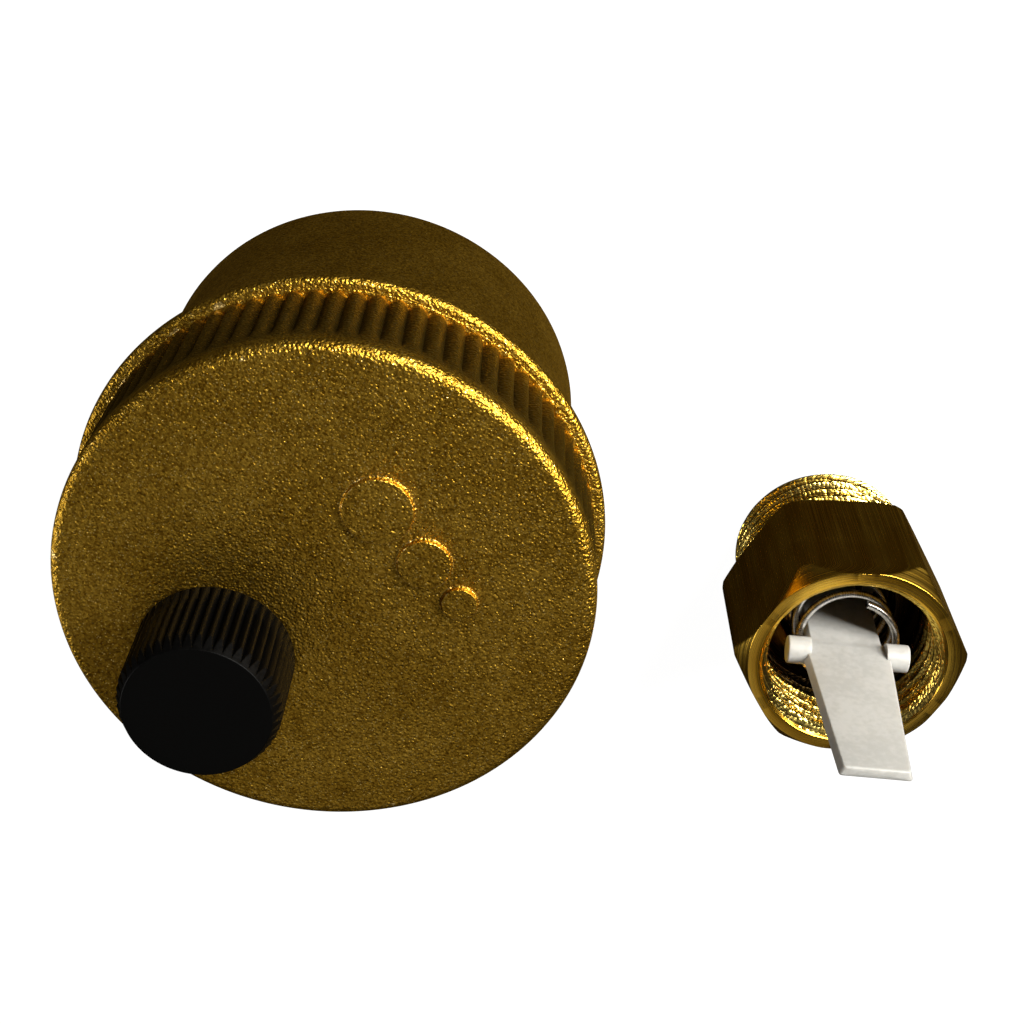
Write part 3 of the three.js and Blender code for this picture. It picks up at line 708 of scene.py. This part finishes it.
def make_flat_ring(name, node, inner, outer, *finish):
    """A flat ring: a rectangle with eased corners, carried round the axis."""
    fillet = 0.2
    profile = rounded([
        (inner, node.bottom, fillet),
        (outer, node.bottom, fillet),
        (outer, node.top, fillet),
        (inner, node.top, fillet),
    ])
    piece(name, turned(name, profile, 144, (node.x, node.y)), *finish)


def make_o_ring(name, node, section, *finish):
    """A round ring of round section: a circle carried round the axis."""
    angle = np.linspace(0, TURN, 24, endpoint=False)
    r = node.r - section + section * np.cos(angle)
    z = (node.bottom + node.top) / 2 + section * np.sin(angle)
    piece(name, turned(name, np.stack([r, z], -1), 120, (node.x, node.y)), *finish)


# ------------------------------------------------------------------ vent: cover and pads

def make_cover():
    """The screw cover: a flange, a band of convex flutes, a rounded edge, a flat top and a hollow.

    Each row is a ring round the vent's axis. Over the top and the ceiling the rings slide across
    towards the outlet and shrink to its hole, so that the surface closes through the hole. The band is
    cut by one less the size of a sine wave, and the cut fades out below the rounded edge. Painted shade
    darkens the band, most in its flutes.
    """
    flutes, depth, band_r = 80, 0.6, 22.05
    flange_top, edge, ceiling, skirt_r = 55.2, 1.0, 64.3, 19.4
    flat_r, under_r = band_r - edge - 0.05, skirt_r - 0.4
    hole_r, relief_r, relief_top = 3.3, 4.4, 65.6
    pitch, thread_depth = 1.5, 0.7
    fade_low, fade_high, thread_high = 62.2, 65.1, 62.0
    outer = rounded([
        (skirt_r, COVER.bottom, 0.25),
        (COVER.r, COVER.bottom, 0.35),
        (COVER.r, flange_top - 0.1, 0.6, 0.3),
        (band_r, flange_top, 0.08, 0.55),
        (band_r, COVER_TOP, edge, 0),
        (flat_r, COVER_TOP, 0),
    ], loop=False)
    inner = rounded([
        (under_r, ceiling, 0, 0),
        (skirt_r, ceiling, 0.3, pitch / 8),
        (skirt_r, COVER.bottom + 0.3, 0),
    ], loop=False)
    share = np.linspace(0, 1, 33)[1:, None]
    over = np.concatenate([flat_r + (hole_r + 0.2 - flat_r) * share, 0 * share + COVER_TOP], -1)
    under = np.concatenate([under_r + (relief_r - under_r) * share, 0 * share + ceiling], -1)[::-1]
    through = np.array([
        [hole_r, COVER_TOP - 0.2],
        [hole_r, relief_top],
        [relief_r - 0.1, relief_top],
        [relief_r, relief_top - 0.1],
    ])
    profile = np.concatenate([outer, over, through, under, inner])
    slid = np.concatenate([np.zeros(len(outer)), share[:, 0], np.ones(len(through)), share[::-1, 0],
                           np.zeros(len(inner))])

    def radius(r, z, angle):
        lobe = 1 - np.abs(np.sin(flutes / 2 * angle))
        fade = 1 - smooth((z - fade_low) / (fade_high - fade_low))
        on_band = (r > skirt_r + 1) & (r < band_r + 0.01) & (z > flange_top - 0.001)
        r = np.where(on_band, r - depth * lobe * fade, r)
        cut = skirt_r + thread_depth * thread_cut(z, angle, pitch, COVER.bottom + 0.3, thread_high)
        on_thread = (np.abs(r - skirt_r) < 0.2) & (z > COVER.bottom + 0.25) & (z < thread_high + 1)
        return np.where(on_thread, np.maximum(r, cut), r)

    # Painted shade on the fluted band, darkest in the flute hollows.
    def painted_shade(out, up):
        on_band = smooth((up - flange_top) / 0.3) * smooth((COVER_TOP - 0.7 - up) / 1.2)
        return on_band * (out > band_r - 0.8) * (0.85 + 0.15 * smooth((band_r - out) / depth))

    axis = COVER.x, COVER.y
    mesh = turned("cover_casting", profile, 640, axis, radius, slide=slid[:, None] * OUTLET)
    paint_shade(mesh, axis, painted_shade)
    piece("cover_casting", mesh, BLASTED, "cover", "cast_brass", "cover")


def make_pads():
    """Three round raised pads in a row on the cover, each a low drum whose foot flares into the face."""
    pads = {"large": (0.2, -9.3, 2.9), "middle": (-5.3, -7.1, 2.2), "small": (-9.5, -5.45, 1.5)}
    for size, (x, y, r) in pads.items():
        sunk = COVER_TOP - 0.3
        profile = rounded([
            (r * 0.5, sunk, 0),
            (r + 0.12, sunk, 0),
            (r + 0.12, COVER_TOP + 0.01, 0),
            (r + 0.02, COVER_TOP + 0.04, 0.1),
            (r - 0.08, COVER.top, 0.1),
            (r * 0.5, COVER.top, 0),
        ], loop=False)
        name = "cover_pad_" + size
        mesh = turned(name, profile, 120, (COVER.x + x, COVER.y + y), loop=False)
        piece(name, mesh, BLASTED, "cover", "cast_brass")


# ------------------------------------------------------------------ vent: outlet and cap

def make_nozzle():
    """The outlet: a seat, a flange that clamps the bracket, and a threaded stub with an air way."""
    seat_r, flange_r, stub_r, way = 1.6, 3.8, 3.0, 0.8
    flange, way_narrow, way_wide, thread_low = (62.1, 62.9), 63.3, 64.3, 66.6
    pitch, depth = 1.0, 0.5
    profile = rounded([
        (way, NOZZLE.bottom, 0.12),
        (seat_r, NOZZLE.bottom, 0.2),
        (seat_r, flange[0], 0.1),
        (flange_r, flange[0], 0.12),
        (flange_r, flange[1], 0.12),
        (stub_r, flange[1], 0.1, 1.0),
        (stub_r, thread_low, 0, pitch / 12),
        (stub_r, NOZZLE.top, 0.45),
        (2 * way, NOZZLE.top, 0.2, 2.0),
        (2 * way, way_wide, 0.1),
        (way, way_narrow, 0.1),
    ])

    def radius(r, z, angle):
        cut = stub_r - depth * thread_cut(z, angle, pitch, thread_low, NOZZLE.top + 0.3)
        return np.where((z > thread_low) & (r > 2 * way + 0.4), np.minimum(r, cut), r)

    mesh = turned("outlet_turning", profile, 120, (NOZZLE.x, NOZZLE.y), radius)
    piece("outlet_turning", mesh, TURNED_BRASS, "cover", "bright_brass", "outlet_nozzle")


def make_cap():
    """The knurled cap: straight V ridges that a cone cuts off at the top, round a flat end.

    The radius is the smaller of a ridged wall, a triangle wave round the axis, and the cone.
    """
    ridges, crest, root, end_r = 48, CAP.r - 0.01, CAP.r - 0.58, 5.87
    cone_low, mouth_r, bore_r = CAP.top - 1.3, 5.8, 3.4
    shelf, bore_top, middle_r, plain = CAP.bottom + 1.4, 73.2, 1.5, CAP.bottom + 0.9
    profile = rounded([
        (mouth_r, CAP.bottom, 0.15),
        (crest, CAP.bottom, 0.25, 1.2),
        (crest, cone_low, 0, 0.09),
        (end_r, CAP.top, 0.12, 1.5),
        (middle_r, CAP.top, 0),
        (middle_r, bore_top, 0),
        (bore_r, bore_top, 0.2, 1.0),
        (bore_r, shelf, 0.15),
        (mouth_r, shelf, 0.15),
    ])
    outside_end, inside_start = np.flatnonzero(profile[:, 0] == middle_r)
    profile = np.concatenate([profile[inside_start:], profile[:outside_end + 1]])

    def radius(r, z, angle):
        wave = np.abs((ridges / TURN * angle) % 1 * 2 - 1)
        wall = root + (crest - root) * (1 - smooth(0.5 * wave) * 2)
        wall = np.where(z < plain, wall + (crest - wall) * smooth((plain - z) / 0.3), wall)
        return np.where(r > mouth_r + 0.01, soft_min(r, wall + 0.01, 0.03), r)

    mesh = turned("cap_moulding", profile, 576, (CAP.x, CAP.y), radius, loop=False)
    piece("cap_moulding", mesh, BLACK, "cap", "black_plastic", "cap", sharp=22)


# ------------------------------------------------------------------ vent: float gear

def in_mechanism(out, side, up):
    """A point from its distance out past the vent's axis towards the outlet, sideways, and its height."""
    x = HOUSING.x + out * OUTLET_OUT[0] + side * OUTLET_SIDE[0]
    y = HOUSING.y + out * OUTLET_OUT[1] + side * OUTLET_SIDE[1]
    return np.stack([x + 0 * up, y + 0 * up, up + 0 * x], -1)


PIVOT_OUT = float(np.array([PIVOT.x - HOUSING.x, PIVOT.y - HOUSING.y]) @ OUTLET_OUT)
PIVOT_UP = (PIVOT.bottom + PIVOT.top) / 2
LEVER_TILT = math.asin(3.0 / PIVOT_OUT)  # half the float's travel over the arm


def rod_along_side(name, r, half_length, bore=0.0, sides=48):
    """A round rod or tube about the pivot's line: a profile carried round that line, eased at its ends."""
    if bore:
        profile = rounded([(bore, -half_length, 0.05), (r, -half_length, 0.12),
                           (r, half_length, 0.12), (bore, half_length, 0.05)])
    else:
        profile = rounded([(r * 0.4, -half_length, 0), (r, -half_length, 0.12),
                           (r, half_length, 0.12), (r * 0.4, half_length, 0)], loop=False)
    angle = np.linspace(0, TURN, sides, endpoint=False)[None]
    out = PIVOT_OUT + profile[:, :1] * np.cos(angle)
    up = PIVOT_UP + profile[:, :1] * np.sin(angle)
    return closed_mesh(name, in_mechanism(out, profile[:, 1:] + 0 * angle, up), loop=bore > 0)


def make_bracket():
    """The bracket: a holed plate under the cover and two holed ears that hang from it."""
    low, high, half_side, hole_r = 63.2, 64.0, 4.3, 3.3
    ear_half, ear_side, pin_hole_r = 1.2, 3.85, 0.82
    outlet = float(np.array([NOZZLE.x - HOUSING.x, NOZZLE.y - HOUSING.y]) @ OUTLET_OUT)

    def flat(a, b, c):
        return in_mechanism(outlet + a, b, (low + high) / 2 + c)

    sides = 4.1, PIVOT_OUT + ear_half - outlet, half_side, half_side
    mesh = holed_plate("bracket_plate", sides, hole_r, (high - low) / 2, 0.1, flat)
    piece("bracket_plate", mesh, PRESSED, "cover", "stainless", "bracket")

    for label, sign in (("left", 1), ("right", -1)):

        def stood(a, b, c, sign=sign):
            return in_mechanism(PIVOT_OUT + a, sign * (ear_side + c), PIVOT_UP + b)

        name = "bracket_ear_" + label
        sides = ear_half, ear_half, 1.4, low + 0.2 - PIVOT_UP
        mesh = holed_plate(name, sides, pin_hole_r, 0.45, PLATE_EDGE, stood)
        piece(name, mesh, PRESSED, "cover", "stainless")


def make_lever():
    """The lever: a forked strip on a rolled eye, tilted about the pivot's line."""
    half, fork_half, slot_half, fork_root, end, thick = 2.0, 2.9, 1.4, 12.4, 16.4, 0.8
    cos, sin = math.cos(LEVER_TILT), math.sin(LEVER_TILT)

    def tilted(a, b, c):
        return in_mechanism(PIVOT_OUT - a * cos - c * sin, b, PIVOT_UP - a * sin + c * cos)

    outline = rounded([
        (1.0, -half, 0.1), (fork_root - 1.2, -half, 0.4), (fork_root, -fork_half, 0.5),
        (end, -fork_half, 0.5), (end, -slot_half, 0.4), (fork_root + slot_half, -slot_half, 0.1),
        (fork_root, 0, 0.6), (fork_root + slot_half, slot_half, 0.1), (end, slot_half, 0.4),
        (end, fork_half, 0.5), (fork_root, fork_half, 0.5), (fork_root - 1.2, half, 0.4), (1.0, half, 0.1),
    ])
    mesh = closed_mesh("lever_pressing", prism(outline, thick, tilted), loop=False)
    piece("lever_pressing", mesh, PRESSED, "lever", "stainless", "lever")
    eye = rod_along_side("lever_eye", 1.3, 2.9, bore=0.83)
    piece("lever_eye", eye, PRESSED, "lever", "stainless")


def make_float_gear():
    """Pin, obturator, its disc and spring, the bell float and its hook: profiles carried round axes."""
    collar_z, plate_z = 57.2, 58.0
    wire, seat_lift = 0.16, 1.506
    wall, socket_r, socket_hole_r, socket_depth = 1.3, 3.2, 1.6, 3
    neck_low, neck_high = 52.2, 55.8
    pin = rod_along_side("pivot_rod", 0.75, 4.7)
    piece("pivot_rod", pin, PRESSED, "cover", "stainless", "pivot_pin")

    profile = rounded([
        (0.3, STEM.bottom, 0), (0.8, STEM.bottom, 0.2), (0.8, collar_z, 0.1), (1.6, collar_z, 0.12),
        (1.6, plate_z, 0.1), (STEM.r, plate_z, 0.12), (STEM.r, STEM.top, 0.12), (0.8, STEM.top, 0),
    ], loop=False)
    mesh = turned("obturator_turning", profile, 72, (STEM.x, STEM.y), loop=False)
    piece("obturator_turning", mesh, TURNED_BRASS, "obturator", "bright_brass", "obturator_pin")

    profile = rounded([
        (0.6, SEAT_DISC.bottom, 0), (SEAT_DISC.r, SEAT_DISC.bottom, 0.2),
        (SEAT_DISC.r, SEAT_DISC.top, 0.3), (0.6, SEAT_DISC.top, 0),
    ], loop=False)
    mesh = turned("seat_disc", profile, 72, (SEAT_DISC.x, SEAT_DISC.y), loop=False)
    piece("seat_disc", mesh, RUBBER, "obturator", "black_rubber", "obturator_seal")

    path = coil_path((STEM.x, STEM.y), 2.1, SEAT_SPRING.bottom + wire, SEAT_SPRING.top - wire, 3.5, 0.4, 0.8)
    mesh = swept_wire("opening_coil", path, wire, 12)
    made = piece("opening_coil", mesh, SPRING, "cover", "spring_steel", "obturator_spring")
    shorten(made)

    socket_low = FLOAT.top - socket_depth
    profile = rounded([
        (FLOAT.r - wall, FLOAT.bottom, 0.3), (FLOAT.r, FLOAT.bottom, 0.6, 4.0),
        (FLOAT.r, FLOAT.top, 1.0, 4.0), (socket_hole_r, FLOAT.top, 0.2), (socket_hole_r, socket_low, 0.2),
        (socket_r, socket_low, 0.3), (socket_r, FLOAT.top - wall, 0.4, 4.0),
        (FLOAT.r - wall, FLOAT.top - wall, 0.8, 4.0),
    ])
    mesh = turned("float_bell", profile, 192, (FLOAT.x, FLOAT.y))
    piece("float_bell", mesh, NATURAL, "float", "float_plastic", "float")

    profile = rounded([
        (0.6, HOOK.bottom, 0), (1.3, HOOK.bottom, 0.3), (1.3, FLOAT.top + 0.3, 0.1),
        (HOOK.r, FLOAT.top + 0.3, 0.3), (HOOK.r, neck_low, 0.4), (1.0, neck_low, 0.3),
        (1.0, neck_high, 0.3), (2.4, neck_high, 0.3), (2.4, HOOK.top, 0.5), (0.6, HOOK.top, 0),
    ], loop=False)
    mesh = turned("float_hook", profile, 96, (HOOK.x, HOOK.y), loop=False)
    piece("float_hook", mesh, NATURAL, "float", "float_plastic", "float_stem")


# ------------------------------------------------------------------ shut-off valve

WEB = (10.0, 11.6)  # the bottom and top of the wall across the valve


def make_valve_body():
    """The valve's body: threaded end, hexagon with turned-off corners, threaded mouth and a web inside.

    Its profile is carried round the axis. The end's outside and the mouth's inside are cut by the pipe
    thread. Along the head the radius is the smaller of the turned profile and the hexagon. Painted shade
    darkens it deep inside. The faces take one of three finishes: turned, drawn on the flats, or threaded,
    and the threaded one is a paler brass, a painted highlight.
    """
    flats, corner_r, head_z = 2 * VALVE.r, 12.95, 9.5
    rim_r, mouth_r, floor_z, pocket_r, web_r, lower_r = 11.62, 10.35, 14.5, 6.6, 5.3, 7.5
    fine, shade_top = G_HALF.pitch / 14, 20.8
    mouth_low = VALVE.top - (mouth_r - G_HALF.minor)
    profile = rounded([
        (lower_r, 0, 0.3),
        (G_HALF.major - LEAD_IN, 0, 0.12, 0.2),
        (G_HALF.major, LEAD_IN, 0, fine),
        (G_HALF.major, head_z - 0.02, 0),
        (G_HALF.major + 0.1, head_z, 0),
        (corner_r - 0.9, head_z, 0, 0.1),
        (corner_r, head_z + 0.6, 0, 2.0),
        (corner_r, VALVE.top - 2.0, 0, 0.09),
        (rim_r, VALVE.top, 0.1),
        (mouth_r, VALVE.top, 0.12, 0.15),
        (G_HALF.minor, mouth_low, 0, fine),
        (G_HALF.minor, floor_z, 0.2),
        (pocket_r, floor_z, 0.3, 1.0),
        (pocket_r, WEB[1], 0.2),
        (web_r, WEB[1], 0.15),
        (web_r, WEB[0], 0.15),
        (lower_r, WEB[0], 0.3, 3.0),
    ])

    def radius(r, z, angle):
        depth = G_HALF.major - G_HALF.minor
        male = G_HALF.major - depth * thread_cut(z, angle, G_HALF.pitch, 0.1, head_z + 0.3)
        on_end = (z < head_z - 0.01) & (r > lower_r + 0.5)
        female = G_HALF.minor + depth * thread_cut(z, angle, G_HALF.pitch, floor_z + 1.2, VALVE.top + 0.5)
        on_mouth = (z > floor_z) & (r < mouth_r - 0.13) & (r > G_HALF.minor - 0.15)
        on_head = (z >= head_z) & (r > mouth_r + 0.3)
        r = np.where(on_end, np.minimum(r, male), r)
        r = np.where(on_mouth, np.maximum(r, female), r)
        return np.where(on_head, soft_min(r, hexagon_radius(angle, flats), 0.07), r)

    # Painted shade deep in the bore, below shade_top.
    def painted_shade(out, up):
        return smooth((shade_top - up) / 3.0) * (out < G_HALF.major + 0.1) * (up > WEB[0])

    axis = VALVE.x, VALVE.y
    mesh = turned("valve_turning", profile, 432, axis, radius)
    paint_shade(mesh, axis, painted_shade)
    made = piece("valve_turning", mesh, TURNED_BRASS, "valve_body", "bright_brass", "valve_body", sharp=24)
    made.data.materials.append(DRAWN_BRASS)
    made.data.materials.append(HIGHLIT_THREAD_BRASS)
    faces = len(mesh.polygons)
    normals, centres = np.zeros(faces * 3, np.float32), np.zeros(faces * 3, np.float32)
    mesh.polygons.foreach_get("normal", normals)
    mesh.polygons.foreach_get("center", centres)
    up = centres[2::3] / MM
    out = np.hypot(centres[0::3] - VALVE.x * MM, centres[1::3] - VALVE.y * MM) / MM
    on_side = (out > mouth_r + 0.9) & (np.abs(normals[2::3]) < 0.2) & (up > head_z)
    on_end = (up > 0.3) & (up < head_z - 0.01) & (out > lower_r + 1)
    on_mouth = (up > floor_z + 1) & (up < VALVE.top - 0.3) & (out > G_HALF.minor - 0.2) & (out < mouth_r)
    finish = on_side + 2 * (on_end | on_mouth)
    mesh.polygons.foreach_set("material_index", finish.astype(np.int32))


BLADE_TURN = math.radians(27.3)  # the blade's width, from x
PEG = SimpleNamespace(r=1.55, reach=6.75, z=24.4)
LEAN = SimpleNamespace(angle=math.radians(1.4), z=7.7)  # the blade stands loose in its foot


def in_shutter(across, through, up):
    """A point from its place across the leaning blade's width, through its thickness, and its height."""
    cos, sin = math.cos(LEAN.angle), math.sin(LEAN.angle)
    above = up - LEAN.z
    across, up = across * cos + above * sin, LEAN.z + above * cos - across * sin
    x = VALVE.x + across * math.cos(BLADE_TURN) - through * math.sin(BLADE_TURN)
    y = VALVE.y + across * math.sin(BLADE_TURN) + through * math.cos(BLADE_TURN)
    return np.stack([x + 0 * up, y + 0 * up, up + 0 * x], -1)


def make_shutter():
    """The white blade with its pegs, its foot, and the foot's ring.

    The blade is a four-sided outline with rounded corners carried upwards, as wide as the blade is
    there and narrower in front than behind. The foot's slot is a rectangle's radius.
    """
    thick, corner, draft = 1.15, 0.16, 0.33
    bottom, top = BLADE.bottom + 0.09, BLADE.top - 0.1  # before it leans
    peg_low, peg_high = PEG.z - PEG.r, PEG.z + PEG.r
    widths = np.array([
        (bottom, 3.0), (bottom + 0.15, 3.2), (10.9, 3.2), (11.5, 4.25), (11.7, 4.3),
        (peg_low - 0.1, 4.3), (peg_low + 0.2, 4.5), (peg_low + 0.5, 4.9), (peg_high, 4.9),
        (top - 0.4, 3.73), (top - 0.18, 3.66), (top - 0.06, 3.55), (top, 3.4),
    ])
    z = np.unique(np.concatenate([widths[:, 0], np.arange(12.0, top - 0.6, 1.0)]))
    half = np.interp(z, *widths.T)
    slim = np.interp(z, [bottom, bottom + 0.12, top - 0.14, top - 0.04, top],
                     [thick / 2 - 0.12, thick / 2, thick / 2, thick / 2 - 0.05, thick / 2 - 0.14])
    quarter = np.linspace(0, math.pi / 2, 5)
    turn = np.concatenate([quarter + k * math.pi / 2 for k in range(4)])
    right = np.sign(np.cos((np.repeat(np.arange(4), 5) + 0.5) * math.pi / 2))
    front = np.sign(np.sin((np.repeat(np.arange(4), 5) + 0.5) * math.pi / 2))
    narrow = np.where(front < 0, draft, 0)
    across = right * (half[:, None] - narrow - corner) + corner * np.cos(turn)
    through = front * (slim[:, None] - corner) + corner * np.sin(turn)
    points = in_shutter(across, through, z[:, None] + 0 * across)
    mesh = closed_mesh("blade_moulding", points, loop=False)
    piece("blade_moulding", mesh, WHITE, "shutter", "white_plastic", "shutter_blade", sharp=40)

    profile = rounded([(0.5, 4.2, 0), (PEG.r, 4.2, 0), (PEG.r, PEG.reach, 0.22), (0.5, PEG.reach, 0)],
                      loop=False)
    angle = np.linspace(0, TURN, 64, endpoint=False)[None]
    for label, sign in (("left", -1), ("right", 1)):
        reach = sign * profile[:, 1:] + 0 * angle
        out = profile[:, :1]
        points = in_shutter(reach, out * np.cos(angle), PEG.z + out * np.sin(angle))
        name = "blade_peg_" + label
        piece(name, closed_mesh(name, points, loop=False), WHITE, "shutter", "white_plastic", sharp=40)

    slot_a, slot_b = 3.5, 1.2
    disc_top, boss_r, boss_top = FOOT_RING.bottom - 0.3, 5.0, FOOT.top
    profile = rounded([
        (2.0, FOOT.bottom, 0), (FOOT.r, FOOT.bottom, 0.3), (FOOT.r, disc_top, 0.2),
        (boss_r, disc_top, 0.3), (boss_r, boss_top, 0.4), (2.0, boss_top, 0),
    ])

    def radius(r, z, angle):
        slot = np.minimum(slot_a / np.maximum(np.abs(np.cos(angle - BLADE_TURN)), 1e-9),
                          slot_b / np.maximum(np.abs(np.sin(angle - BLADE_TURN)), 1e-9))
        return np.where(r < 2.01, slot, r)

    mesh = turned("foot_moulding", profile, 180, (FOOT.x, FOOT.y), radius)
    piece("foot_moulding", mesh, WHITE, "shutter", "white_plastic", "shutter_foot")

    make_o_ring("foot_ring", FOOT_RING, 0.6, RUBBER, "shutter", "black_rubber", "shutter_o_ring")


def make_shutter_coil():
    """The steel coil under the pegs, its upper end cut square and showing beside the blade."""
    wire, turns, top_end, travel = 0.45, 3.6, math.radians(-77), 6.0
    path = coil_path((VALVE.x, VALVE.y), 5.4, COIL.bottom + wire, COIL.top - wire, turns,
                     top_end - TURN * turns, 1.0, per_turn=60)
    mesh = swept_wire("shutter_coil", path, wire, 20)
    made = piece("shutter_coil", mesh, SPRING, "valve_body", "spring_steel", "shutter_spring")
    shorten(made)


# ------------------------------------------------------------------ floor, light, camera

def make_stage():
    """A pale floor. It glows where it is seen directly, and looks dark in the brass."""
    size = 1.5
    floor_mesh = bpy.data.meshes.new("floor")
    floor_mesh.from_pydata([(-size, -size, 0), (size, -size, 0), (size, size, 0), (-size, size, 0)], [],
                           [(0, 1, 2, 3)])
    floor = bpy.data.objects.new("floor", floor_mesh)
    bpy.context.scene.collection.objects.link(floor)
    material = bpy.data.materials.new("pale floor")
    material.use_nodes = True
    tree = material.node_tree
    tree.nodes.clear()
    path = add(tree, "ShaderNodeLightPath")
    pale = add(tree, "ShaderNodeBsdfDiffuse", {"Color": (0.10, 0.10, 0.10, 1)})
    glow = add(tree, "ShaderNodeEmission", {"Color": (1, 1, 1, 1), "Strength": 0.98})
    both = add(tree, "ShaderNodeAddShader", {0: pale.outputs[0], 1: glow.outputs[0]})
    dim = add(tree, "ShaderNodeBsdfDiffuse", {"Color": (0.016, 0.013, 0.008, 1)})
    choice = add(tree, "ShaderNodeMixShader",
                 {0: path.outputs["Is Camera Ray"], 1: dim.outputs[0], 2: both.outputs[0]})
    result = add(tree, "ShaderNodeOutputMaterial")
    tree.links.new(choice.outputs[0], result.inputs["Surface"])
    floor_mesh.materials.append(material)


def lamp(name, place, aim, width, height, watts, colour):
    """A flat rectangular lamp at a place, facing a point. Metres."""
    light = bpy.data.lights.new(name, "AREA")
    light.shape = "RECTANGLE"
    light.size, light.size_y = width, height
    light.energy = watts
    light.color = colour
    made = bpy.data.objects.new(name, light)
    bpy.context.scene.collection.objects.link(made)
    made.location = place
    made.rotation_euler = (Vector(aim) - Vector(place)).to_track_quat("-Z", "Y").to_euler()


def make_lights():
    """A window-like lamp on the near side, faint ones high behind and low behind, and a dim room.

    The room's own colour lights the pieces only faintly, and is pale where it is seen directly.
    """
    centre = (0.0, 0.0, 0.05)
    lamp("window", (-0.14, -0.42, 0.33), centre, 0.46, 0.16, 8.4, (1.0, 0.97, 0.90))
    lamp("ceiling", (-0.08, 0.33, 0.55), centre, 0.50, 0.36, 0.20, (1.0, 0.95, 0.85))
    lamp("back", (0.34, 0.30, 0.12), centre, 0.20, 0.12, 0.6, (1.0, 0.97, 0.92))
    world = bpy.data.worlds.new("room")
    bpy.context.scene.world = world
    world.use_nodes = True
    tree = world.node_tree
    tree.nodes.clear()
    path = add(tree, "ShaderNodeLightPath")
    faint = add(tree, "ShaderNodeBackground", {"Color": (1.0, 0.90, 0.76, 1), "Strength": 0.03})
    seen = add(tree, "ShaderNodeBackground", {"Color": (1, 1, 1, 1), "Strength": 1.0})
    choice = add(tree, "ShaderNodeMixShader",
                 {0: path.outputs["Is Camera Ray"], 1: faint.outputs[0], 2: seen.outputs[0]})
    result = add(tree, "ShaderNodeOutputWorld")
    tree.links.new(choice.outputs[0], result.inputs["Surface"])


def make_camera():
    """A camera above and in front, turned so that the vent stands at the left."""
    place = Vector((45.764, -67.497, 180.093)) * MM
    right = Vector((-0.851929, -0.523273, -0.020076))
    down = Vector((-0.470017, 0.747199, 0.469870))
    forward = Vector((-0.230870, 0.409732, -0.882507))
    lens = bpy.data.cameras.new("camera")
    lens.lens = 58.1
    lens.sensor_width = 36.0
    lens.clip_start = 0.01
    made = bpy.data.objects.new("camera", lens)
    bpy.context.scene.collection.objects.link(made)
    axes = Matrix((right, -down, -forward)).transposed()
    made.matrix_world = Matrix.Translation(place) @ axes.to_4x4()
    bpy.context.scene.camera = made


# ------------------------------------------------------------------ making everything

make_camera()
make_stage()
make_lights()

make_housing()
make_flat_ring("nipple_ring", NIPPLE_RING, 9.6, 11.8, FIBRE, "vent_housing", "fibre", "nipple_washer")
make_cover()
make_pads()
make_flat_ring("cover_ring", COVER_WASHER, 17.4, 18.9, RUBBER, "cover_carrier", "black_rubber", "cover_seal")
make_nozzle()
make_o_ring("outlet_ring", OUTLET_RING, 0.4, RUBBER, "cover", "black_rubber", "nozzle_o_ring")
make_cap()
make_flat_ring("cap_ring", CAP_WASHER, 3.5, 5.4, RUBBER, "cap_carrier", "black_rubber", "cap_seal")
make_bracket()
make_lever()
make_float_gear()
make_valve_body()
make_shutter()
make_shutter_coil()

bpy.context.scene.view_settings.view_transform = "Standard"
bpy.context.view_layer.update()
